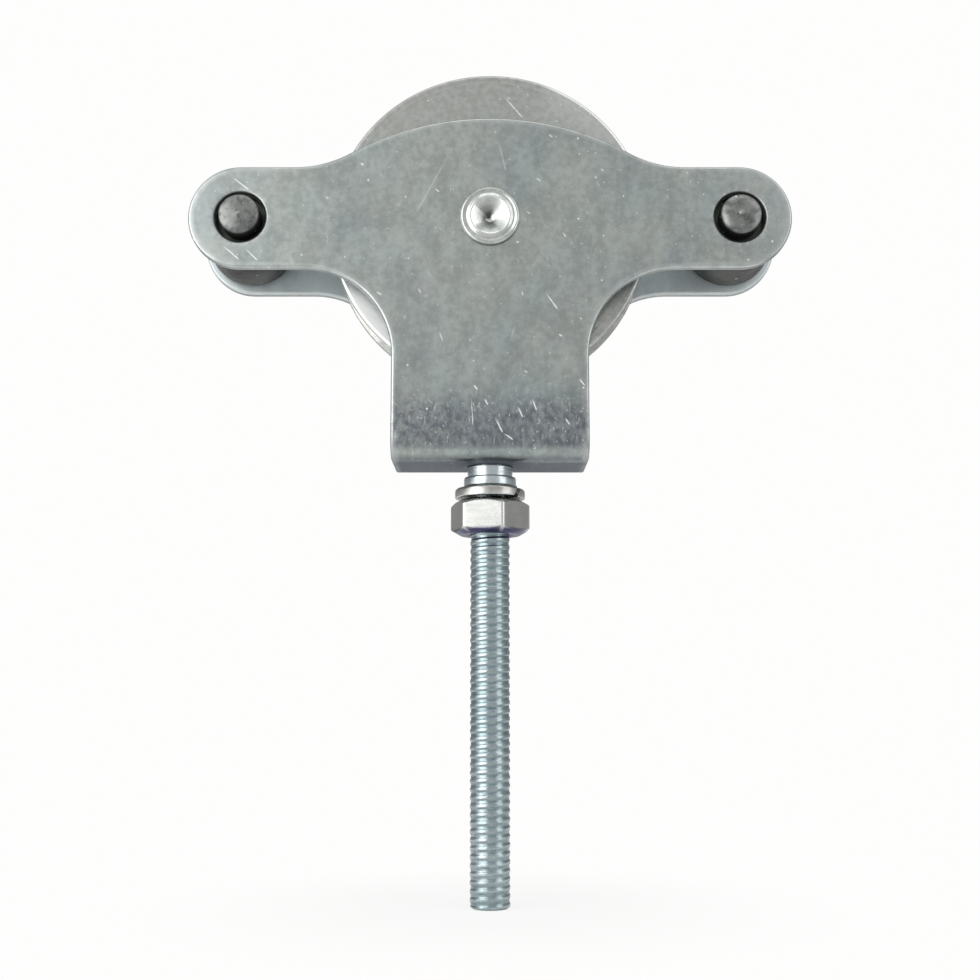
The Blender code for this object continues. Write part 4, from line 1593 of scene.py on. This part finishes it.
@dataclass
class Roller(Piece):
    """A guide roller: a plain drum with chamfered ends and journals with domed ends, each with a small pip.

    The knee of the dome stands at a share of the journal's radius and drops by a share of the dome's height.
    """

    role: Role
    drum: float = 14.4 * MM
    half_drum: float = 6.35 * MM
    chamfer: float = 0.9 * MM
    chamfer_rounds: tuple[float, float] = (0.15 * MM, 0.3 * MM)
    journal: float = 6.35 * MM
    journal_round: float = 0.35 * MM
    dome: float = 0.6 * MM
    dome_knee: tuple[float, float] = (0.72, 0.22)
    dome_round: float = 0.8 * MM
    pip: float = 0.9 * MM
    pip_height: float = 0.15 * MM
    pip_flat_share: float = 0.55
    pip_rounds: tuple[float, float] = (0.1 * MM, 0.08 * MM)
    # The domed ends are lighter; the journal's rim and the pip take a painted highlight
    end_lightness: float = 0.29
    end_lightness_share: float = 0.8
    rim_highlight: float = 0.26
    rim_highlight_share: float = 0.93
    rim_highlight_width: float = 0.12
    rim_highlight_core: float = 0.2
    pip_highlight: float = 0.45
    pip_highlight_share: float = 0.3
    round_steps: int = 5
    sides: int = 96

    def cover(self, skin: Skin) -> None:
        """Turn the roller, with its lighter ends and a painted highlight on each journal's rim and pip.

        Args:
            skin: Where it goes.
        """
        top = (self.high.y - self.low.y) / 2
        end = top - self.pip_height
        journal, drum, pip = self.journal / 2, self.drum / 2, self.pip / 2
        knee_radius, knee_drop = self.dome_knee
        upper = [
            (0.0, top, 0.0),
            (self.pip_flat_share * pip, top, self.pip_rounds[0]),
            (pip, end, self.pip_rounds[1]),
            (knee_radius * journal, end - knee_drop * self.dome, self.dome_round),
            (journal, end - self.dome, self.journal_round),
            (journal, self.half_drum, 0.0),
            (drum - self.chamfer, self.half_drum, self.chamfer_rounds[0]),
            (drum, self.half_drum - self.chamfer, self.chamfer_rounds[1]),
        ]
        profile = softened(upper + mirror_image(upper), self.round_steps)
        height = np.abs(profile[:, 1])
        on_end = smooth_step(height, end - self.dome, end - self.end_lightness_share * self.dome)
        from_rim = np.abs(profile[:, 0] - self.rim_highlight_share * journal) / (self.rim_highlight_width * journal)
        on_rim = (1.0 - smooth_step(from_rim, self.rim_highlight_core, 1.0)) * (height > self.half_drum)
        on_pip = smooth_step(height, end + self.pip_highlight_share * self.pip_height, top)
        # Lighter ends, with painted highlights on the journal's rim and pip
        rubbed = np.maximum.reduce((self.end_lightness * on_end, self.rim_highlight * on_rim, self.pip_highlight * on_pip))
        skin.turned(profile, self.sides, Axis.AXLE, self.centre, rubbed)


@dataclass
class Stem(Piece):
    """The stem: a right-handed thread with a run-out, a shoulder ring, a step, a tenon and a riveted head.

    The thread is a strip of rows along the helix: row k stands at height pitch·(k/rows + t/2π), with the
    radius that the thread's profile has at k.
    """

    role: Role = Role("stem", "stem_stud", Body.FRAME, "stem_zinc", 42.0)
    pitch: float = 1.27 * MM
    thread: float = 6.22 * MM
    depth_share: float = 0.10
    flank: tuple[float, float] = (0.12, 0.38)
    crest_rub: tuple[float, float] = (0.04, 0.24)
    run_out_turns: float = 1.1
    run_out_share: float = 0.96
    turns_below: float = 1.5
    spare_turns: int = 3
    tip_bevel: float = 0.40 * MM
    tip_slope: float = 1.1
    tip_points: int = 4
    shoulder: float = 8.3 * MM
    shoulder_height: float = 1.55 * MM
    shoulder_rounds: tuple[float, float] = (0.3 * MM, 0.35 * MM)
    step: float = 7.4 * MM
    step_height: float = 1.6 * MM
    step_flare: float = 0.20 * MM
    step_rounds: tuple[float, float] = (0.05 * MM, 0.15 * MM)
    tenon: float = 6.2 * MM
    head: float = 10.0 * MM
    head_height: float = 2.0 * MM
    head_edge_share: float = 0.45
    head_edge_round: float = 0.4 * MM
    dome_share: float = 0.55
    dome_round: float = 1.4 * MM
    round_steps: int = 6
    rows: int = 16
    sides: int = 72

    def profile(self) -> tuple[Grid, Grid]:
        """Work out one pitch: level crests and grooves with short steep flanks between them.

        Returns:
            The radius and the wear of each of the rows.
        """
        share = np.arange(self.rows) / self.rows
        from_crest = np.minimum(share, 1.0 - share)
        depth = self.depth_share * self.pitch * smooth_step(from_crest, *self.flank)
        return self.thread / 2 - depth, 1.0 - smooth_step(from_crest, *self.crest_rub)

    def threaded(self, skin: Skin) -> None:
        """Add the thread, its run-out below the shoulder and its bevelled tip.

        The run-out blends the thread's radius into a plain one, and the bevel holds it below a radius that
        grows with the height over the tip.

        Args:
            skin: Where it goes.
        """
        low, radii, worn = self.low.z, *self.profile()
        row = np.arange((math.ceil(-low / self.pitch) + self.spare_turns) * self.rows)[:, None]
        turn = np.linspace(0.0, TAU, self.sides + 1)[None, :]
        height = low - self.turns_below * self.pitch + self.pitch * (row / self.rows + turn / TAU)
        height = np.clip(height, low, 0.0)
        run_out = smooth_step(height, -self.run_out_turns * self.pitch, 0.0)
        radius = radii[row % self.rows] * (1 - run_out) + self.run_out_share * self.thread / 2 * run_out
        tip = self.thread / 2 - self.tip_bevel
        radius = np.minimum(radius, tip + (height - low) * self.tip_slope)
        chart = paired(turn * self.thread / 2, height)
        skin.add(round_stem(radius, turn, height), chart, worn[row % self.rows] * (1 - run_out))
        end = paired(np.linspace(0.0, tip, self.tip_points), low)
        skin.turned(end, self.sides, Axis.STEM, ORIGIN)

    def cover(self, skin: Skin) -> None:
        """Add the thread, and turn what is above it.

        Args:
            skin: Where they go.
        """
        top = self.high.z
        seat, step_top = top - self.head_height, self.shoulder_height + self.step_height
        head, shoulder, tenon = self.head / 2, self.shoulder / 2, self.tenon / 2
        corners = [
            (self.run_out_share * self.thread / 2, 0.0, 0.0),
            (shoulder, 0.0, self.shoulder_rounds[0]),
            (shoulder, self.shoulder_height, self.shoulder_rounds[1]),
            (self.step / 2 - self.step_flare, self.shoulder_height, self.step_rounds[0]),
            (self.step / 2, step_top, self.step_rounds[1]),
            (tenon, step_top, 0.0),
            (tenon, seat, 0.0),
            (head, seat, 0.0),
            (head, seat + self.head_edge_share * self.head_height, self.head_edge_round),
            (self.dome_share * head, top, self.dome_round),
            (0.0, top, 0.0),
        ]
        self.threaded(skin)
        skin.turned(softened(corners, self.round_steps), self.sides, Axis.STEM, ORIGIN)


@dataclass
class SpringWasher(Piece):
    """The split spring washer: a rounded square section carried round a slightly rising turn.

    At a share s of its way the section stands at the angle cut + split/2 + (2π - split)·s and rise·s higher,
    and the angle leans by slant·(height/thickness - 1/2), for the slanted faces of the split.
    """

    role: Role = Role("lock_washer", "spring_washer", Body.WASHER, "washer_zinc", 45.0)
    bore: float = 6.55 * MM
    outer: float = 11.1 * MM
    thickness: float = 1.57 * MM
    split: float = math.radians(9.0)
    slant: float = math.radians(10.0)
    cut_at: float = math.radians(-38.0)
    soft: float = 0.60 * MM
    inner_soft_share: float = 0.3
    lower_soft_share: float = 0.35
    closing: tuple[float, ...] = (0.0, 0.55, 0.9, 1.0)
    rub_heights: tuple[float, float] = (0.5, 0.9)
    round_steps: int = 6
    steps: int = 120

    def cover(self, skin: Skin) -> None:
        """Carry the section round, close its two ends and let the faces of the split slant.

        Args:
            skin: Where it goes.
        """
        rise = self.high.z - self.low.z - self.thickness
        inner, outer = self.bore / 2, self.outer / 2
        inner_soft, lower_soft = self.inner_soft_share * self.soft, self.lower_soft_share * self.soft
        corners = [
            (inner, 0.0, inner_soft),
            (outer, 0.0, lower_soft),
            (outer, self.thickness, self.soft),
            (inner, self.thickness, inner_soft),
        ]
        section = softened(corners, self.round_steps, closed=True)
        middle = np.array(((inner + outer) / 2, self.thickness / 2))
        ends = middle + np.array(self.closing)[:, None, None] * (section - middle)
        sweep, still = np.linspace(0.0, 1.0, self.steps + 1), np.zeros(len(ends) - 1)
        share = np.concatenate((still, sweep, still + 1.0))[:, None]
        rings = np.concatenate((ends[:-1], np.tile(section, (self.steps + 1, 1, 1)), ends[-2::-1]))
        radius, height = rings[..., 0], rings[..., 1]
        from_middle = height / self.thickness - 0.5
        turn = self.cut_at + self.split / 2 + (TAU - self.split) * share + self.slant * from_middle
        rubbed = smooth_step(radius, outer - self.soft, outer)
        rubbed = rubbed * smooth_step(np.abs(from_middle) * 2, *self.rub_heights)
        skin.add(round_stem(radius, turn, self.low.z + rise * share + height), None, rubbed)


@dataclass
class Nut(Piece):
    """The hex nut: six flats with softened corners, a cone at both ends, and a countersunk bore.

    Every ring of the nut has the same angles. A flat's distance is width/2 over the cosine of the angle from
    its middle, and at that distance the cone has dropped by (distance - face)·tan(cone) from the end face.
    """

    role: Role = Role("nut", "hex_nut", Body.NUT, "nut_zinc", 35.0)
    width: float = 11.11 * MM
    turn: float = math.radians(18.7)
    bore: float = 6.47 * MM
    sink: float = 0.5 * MM
    face_share: float = 0.425
    cone: float = math.radians(30.0)
    corner_round: float = 0.45 * MM
    soft: float = 0.14 * MM
    face_edge_share: float = 0.02
    flat_edge_shares: tuple[float, float] = (0.28, 0.12)
    corner_rub: tuple[float, float] = (0.555, 0.565)
    sides: int = 240

    def distance(self, angle: Grid) -> Grid:
        """Distance from the axis to the rounded hexagon at each angle.

        Near a corner the ray meets a circle of the corner's radius that touches both flats, and elsewhere it
        meets a flat.

        Args:
            angle: Angle from +X about the axis, in radians.

        Returns:
            The distance at each angle.
        """
        corner, half = math.pi / 6, self.width / 2
        from_middle = np.abs(np.mod(angle - self.turn + corner, math.pi / 3) - corner)
        centre = (half - self.corner_round) / math.cos(corner)
        off = corner - from_middle
        inside = np.maximum(self.corner_round**2 - (centre * np.sin(off)) ** 2, 0.0)
        rounded = centre * np.cos(off) + np.sqrt(inside)
        touch = math.atan2((half - self.corner_round) * math.tan(corner), half)
        return np.where(from_middle > touch, rounded, half / np.cos(from_middle))

    def cover(self, skin: Skin) -> None:
        """Carry the rings from the bore over the upper end down the flats and back below.

        Args:
            skin: Where they go.
        """
        middle, half = (self.low.z + self.high.z) / 2, (self.high.z - self.low.z) / 2
        angle = np.linspace(0.0, TAU, self.sides + 1)
        hexagon = self.distance(angle)
        face, soft = self.face_share * self.width, self.soft
        drop = (hexagon - face) * math.tan(self.cone)
        slope, rise = math.cos(self.cone) * soft, math.sin(self.cone) * soft
        flat_in, flat_down = (share * soft for share in self.flat_edge_shares)
        upper = [
            (self.bore / 2, half - self.sink),
            (self.bore / 2 + self.sink, half),
            (face - soft, half),
            (face, half - self.face_edge_share * soft),
            (face + slope, half - rise),
            (hexagon - slope, half - drop + rise),
            (hexagon - flat_in, half - drop - flat_down),
            (hexagon, half - drop - soft),
        ]
        rings = upper + [(radius, -height) for radius, height in reversed(upper)] + upper[:1]
        sides = [np.broadcast_arrays(radius, height, angle)[:2] for radius, height in rings]
        radius, height = np.moveaxis(np.array(sides), 1, 0)
        on_corner = smooth_step(hexagon, *(share * self.width for share in self.corner_rub))
        skin.add(round_stem(radius, angle, middle + height), None, on_corner * (radius > face + soft))


@dataclass
class Softbox:
    """A soft lamp that looks at the part, placed by its direction and distance from the part's middle."""

    name: str
    bearing: float
    rise: float
    distance: float
    width: float
    height: float
    radiance: float

    def build(self, middle: Vector) -> None:
        """Hang the lamp. Its power is π·radiance·area, so that it looks that bright in a mirror.

        Args:
            middle: Where it looks.
        """
        lamp = bpy.data.lights.new(self.name, "AREA")
        lamp.shape = "RECTANGLE"
        lamp.size, lamp.size_y = self.width, self.height
        lamp.energy = math.pi * self.radiance * self.width * self.height
        bearing, rise = math.radians(self.bearing), math.radians(self.rise)
        level = math.cos(rise)
        towards = Vector((math.sin(bearing) * level, -math.cos(bearing) * level, math.sin(rise)))
        holder = bpy.data.objects.new(self.name, lamp)
        holder.location = middle + towards * self.distance
        holder.rotation_euler = towards.to_track_quat("Z", "Y").to_euler()
        holder.visible_camera = False
        bpy.context.scene.collection.objects.link(holder)


@dataclass
class Studio:
    """Camera, pale floor, soft lamps and a white background.

    The floor's ramps run over the distance from the stem, as shares of the way to the floor's front edge. The
    world's run over the direction's own coordinates.
    """

    camera_place: Triple = (0.0, -227.9 * MM, -33.2 * MM)
    camera_tilt: float = 8.2
    camera_near: float = 0.01
    focal_pixels: float = 1450.0
    frame_pixels: float = 980.0
    sensor: float = 36.0
    middle: Triple = (0.0, 0.0, 20.0 * MM)
    boxes: tuple[Softbox, ...] = (
        Softbox("window", bearing=-43.0, rise=10.0, distance=0.75, width=0.64, height=0.74, radiance=1.45),
        Softbox("strip", bearing=58.0, rise=20.0, distance=0.70, width=0.38, height=0.85, radiance=0.95),
        Softbox("ceiling", bearing=0.0, rise=70.0, distance=0.80, width=0.50, height=0.40, radiance=0.9),
    )
    white: Triple = (0.985, 0.99, 0.98)
    floor_radius: float = 0.16
    floor_front: float = 0.060
    floor_rings: int = 9
    floor_sides: int = 96
    floor_sharp: float = 60.0
    floor_colour: Triple = (0.92, 0.925, 0.915)
    shadow: Ramp = Ramp(0.95, 0.1, 0.0, 0.16)
    mirrored_floor: Ramp = Ramp(0.9, 1.5, 0.35, 1.0)
    above: Ramp = Ramp(0.0, 0.75, 0.58, 0.70)
    below: Ramp = Ramp(-0.1, -0.6, 0.0, 0.10)
    beside: Ramp = Ramp(-0.35, 0.35, 1.0, 0.62)
    left: Ramp = Ramp(-0.35, -0.8, 0.0, 0.65)
    left_front: Ramp = Ramp(0.1, -0.25)
    behind: Ramp = Ramp(0.90, 0.97)
    behind_above: Ramp = Ramp(-0.12, 0.0)

    def build(self) -> None:
        """Set up the whole studio."""
        self.camera()
        self.floor()
        self.world()
        for box in self.boxes:
            box.build(Vector(self.middle))
        bpy.context.scene.view_settings.view_transform = "Standard"

    def camera(self) -> None:
        """Set the camera at the photograph's place, looking up, with the focal length found in pixels."""
        lens = bpy.data.cameras.new("camera")
        lens.sensor_width = self.sensor
        lens.lens = self.focal_pixels / self.frame_pixels * self.sensor
        lens.clip_start = self.camera_near
        holder = bpy.data.objects.new("camera", lens)
        holder.location = self.camera_place
        holder.rotation_euler = (math.radians(90.0 + self.camera_tilt), 0.0, 0.0)
        bpy.context.scene.collection.objects.link(holder)
        bpy.context.scene.camera = holder

    def floor(self) -> None:
        """Round table top under the stem's tip, most of it behind the part.

        Its rings of points stand at radius·(cos t, sin t), closed in the middle.
        """
        low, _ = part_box("stem_stud")
        radius = np.linspace(0.0, self.floor_radius, self.floor_rings)[:, None]
        turn = np.linspace(0.0, TAU, self.floor_sides + 1)[None, :]
        back = self.floor_radius - self.floor_front
        skin = Skin()
        skin.add(round_stem(radius, turn, low.z) + (0.0, back, 0.0))
        mesh = skin.mesh("floor", self.floor_sharp, closed=False)
        mesh.materials.append(self.floor_finish())
        floor = bpy.data.objects.new("floor", mesh)
        bpy.context.scene.collection.objects.link(floor)

    def floor_finish(self) -> bpy.types.Material:
        """Make the floor's finish.

        Near the stem a share of it is matt and takes the part's shadow; the rest shows as the white
        background.

        Returns:
            The material.
        """
        nodes = Paint("pale_floor")
        from_stem = nodes.vector("LENGTH", nodes.vector("MULTIPLY", nodes.place, (1.0, 1.0, 0.0)))
        front = self.floor_front / MM
        seen, mirrored = nodes.rays()
        mirrored = nodes.product(mirrored, nodes.ramp(from_stem, self.mirrored_floor.shares_of(front)))
        lit = nodes.maths("SUBTRACT", 1.0, nodes.ramp(from_stem, self.shadow.shares_of(front)))
        matt = nodes.new("ShaderNodeBsdfDiffuse", {"Color": self.floor_colour})
        glow = nodes.new("ShaderNodeEmission", {"Color": self.white})
        share = nodes.product(nodes.maths("MAXIMUM", seen, mirrored), lit)
        mix = nodes.new("ShaderNodeMixShader", {0: share, 1: matt.outputs[0], 2: glow.outputs[0]})
        nodes.tree.nodes.remove(nodes.shader)
        nodes.feed(nodes.tree.nodes["Material Output"].inputs["Surface"], mix.outputs[0])
        return nodes.material

    def world(self) -> None:
        """White background behind the part, and a soft room that is brighter to the front and left."""
        world = bpy.data.worlds.new("studio")
        bpy.context.scene.world = world
        world.use_nodes = True
        nodes = Tree(world.node_tree)
        across, depth, up = nodes.split(nodes.new("ShaderNodeTexCoord").outputs["Generated"])
        height = nodes.maths("ADD", nodes.ramp(up, self.above), nodes.ramp(up, self.below))
        left = nodes.product(nodes.ramp(across, self.left), nodes.ramp(depth, self.left_front))
        room = nodes.maths("ADD", nodes.product(height, nodes.ramp(depth, self.beside)), left)
        behind = nodes.product(nodes.ramp(depth, self.behind), nodes.ramp(up, self.behind_above))
        seen, mirrored = nodes.rays()
        white = nodes.maths("MAXIMUM", seen, nodes.product(mirrored, behind))
        background = world.node_tree.nodes["Background"]
        nodes.feed(background.inputs["Color"], nodes.blend(white, nodes.grey(room), self.white))


# Scratches that the photograph shows on the front cheek; the long level one lies along the fold's lower end
SCRATCHES = (
    Scratch((8.6, -12.2), (10.6, -15.1), 0.16),
    Scratch((0.8, -32.1), (2.0, -34.6), 0.17),
    Scratch((2.0, -34.6), (3.6, -35.5), 0.14),
    Scratch((-2.6, -26.9), (-1.9, -27.8), 0.20),
    Scratch((-0.9, -29.1), (-0.3, -30.2), 0.18),
    Scratch((6.5, -29.1), (7.2, -31.1)),
    Scratch((4.2, -30.2), (5.1, -32.2)),
    Scratch((11.5, -32.1), (12.3, -33.3)),
    Scratch((13.7, -25.9), (14.7, -27.2)),
    Scratch((-2.9, -28.8), (-2.6, -33.6), 0.10),
    Scratch((-8.7, 4.6), (-8.0, 4.0), 0.16),
    Scratch((11.3, -2.5), (11.9, -3.3), 0.15),
    Scratch((-7.9, -18.5), (-7.3, -20.1), 0.10),
    Scratch((-40.7, 6.5), (-37.9, 4.3)),
    Scratch((-42.0, -4.6), (-39.1, -7.1)),
    Scratch((-38.4, -5.1), (-36.3, -7.2)),
    Scratch((4.0, -39.1), (15.2, -39.1), 0.20, 0.8),
    Scratch((-5.6, 11.9), (-12.0, -0.2), 0.20, 0.22),
    Scratch((1.3, 12.6), (2.6, 7.1), 0.20, 0.25),
    Scratch((3.2, -20.0), (3.9, -17.4), 0.20, 0.25),
    Scratch((9.2, 13.6), (9.9, 13.0), 0.20, 0.6),
    Scratch((17.4, 7.9), (18.0, 7.4), 0.20, 0.5),
    Scratch((7.2, 6.3), (8.0, 5.8), 0.24, 0.5),
    Scratch((5.7, 0.9), (6.3, 0.4), 0.20, 0.5),
    Scratch((5.0, -12.0), (5.1, -12.8), 0.18, 0.6),
    Scratch((-11.2, -11.6), (-10.8, -12.4), 0.20, 0.6),
    Scratch((-20.4, 8.8), (-20.0, 8.4), 0.24, 0.9),
    Scratch((-29.7, -6.0), (-29.3, -6.4), 0.20, 0.7),
    Scratch((-17.8, -12.1), (-16.9, -12.7), 0.22, 0.7),
    Scratch((10.6, -18.9), (11.2, -19.3), 0.22, 0.8),
    Scratch((5.2, -24.6), (5.8, -25.1), 0.22, 0.6),
)
WHEEL_ZINC = TurnedMetal(
    base=(0.41, 0.43, 0.41),
    cloud=(0.48, 0.485, 0.455),
    # Near white: the painted highlight on the rim's arcs
    painted_light=(0.95, 0.96, 0.95),
    dots=two_sizes(0.15),
    scratches=(Scratch((2.1, 21.9), (5.4, 18.0), 0.14, 1.0),),
)
RIVET_ZINC = TurnedMetal(
    base=(0.54, 0.57, 0.545),
    cloud=(0.64, 0.66, 0.64),
    # Near white: also the painted highlight round the dimple's rim
    edge=(0.93, 0.95, 0.93),
    roughness=0.22,
    dots=two_sizes(0.0),
)
SLEEVE_STEEL = TurnedMetal(base=(0.42, 0.42, 0.42), cloud=(0.50, 0.50, 0.50))
ROLLER_STEEL = TurnedMetal(
    base=(0.032, 0.035, 0.031),
    cloud=(0.066, 0.070, 0.063),
    roughness=0.38,
    patches=0.9,
    dots=two_sizes(0.12),
)
WASHER_ZINC = TurnedMetal(
    base=(0.44, 0.435, 0.415),
    cloud=(0.56, 0.55, 0.52),
    roughness=0.28,
    axis=Axis.STEM,
)


def main() -> None:
    """Build the pieces in order, then the studio."""
    logging.basicConfig(level=logging.INFO, format="%(message)s")
    fork = Fork()
    fork.build(PlatedSheet(SCRATCHES).material("cloudy_zinc", fork.axle_along, fork.flat_half, fork.fold_end))
    sheave = Sheave()
    sheave.build(WHEEL_ZINC.material("turned_zinc", sheave.centre))
    Rivet().build(RIVET_ZINC.material("bright_zinc", sheave.centre))
    Sleeve().build(SLEEVE_STEEL.material("drawn_steel", sheave.centre))
    for node, body in (("guide_roller_left", Body.LEFT_ROLLER), ("guide_roller_right", Body.RIGHT_ROLLER)):
        roller = Roller(Role(body.value, node, body, "dark_steel", 40.0))
        roller.build(ROLLER_STEEL.material(f"{body.value}_steel", roller.centre))
    Stem().build(StemZinc().material("stem_plating"))
    SpringWasher().build(WASHER_ZINC.material("washer_metal", ORIGIN))
    nut = Nut()
    nut.build(NutZinc().material("nut_plating", nut.low.z))
    Studio().build()


if __name__ == "__main__":
    main()
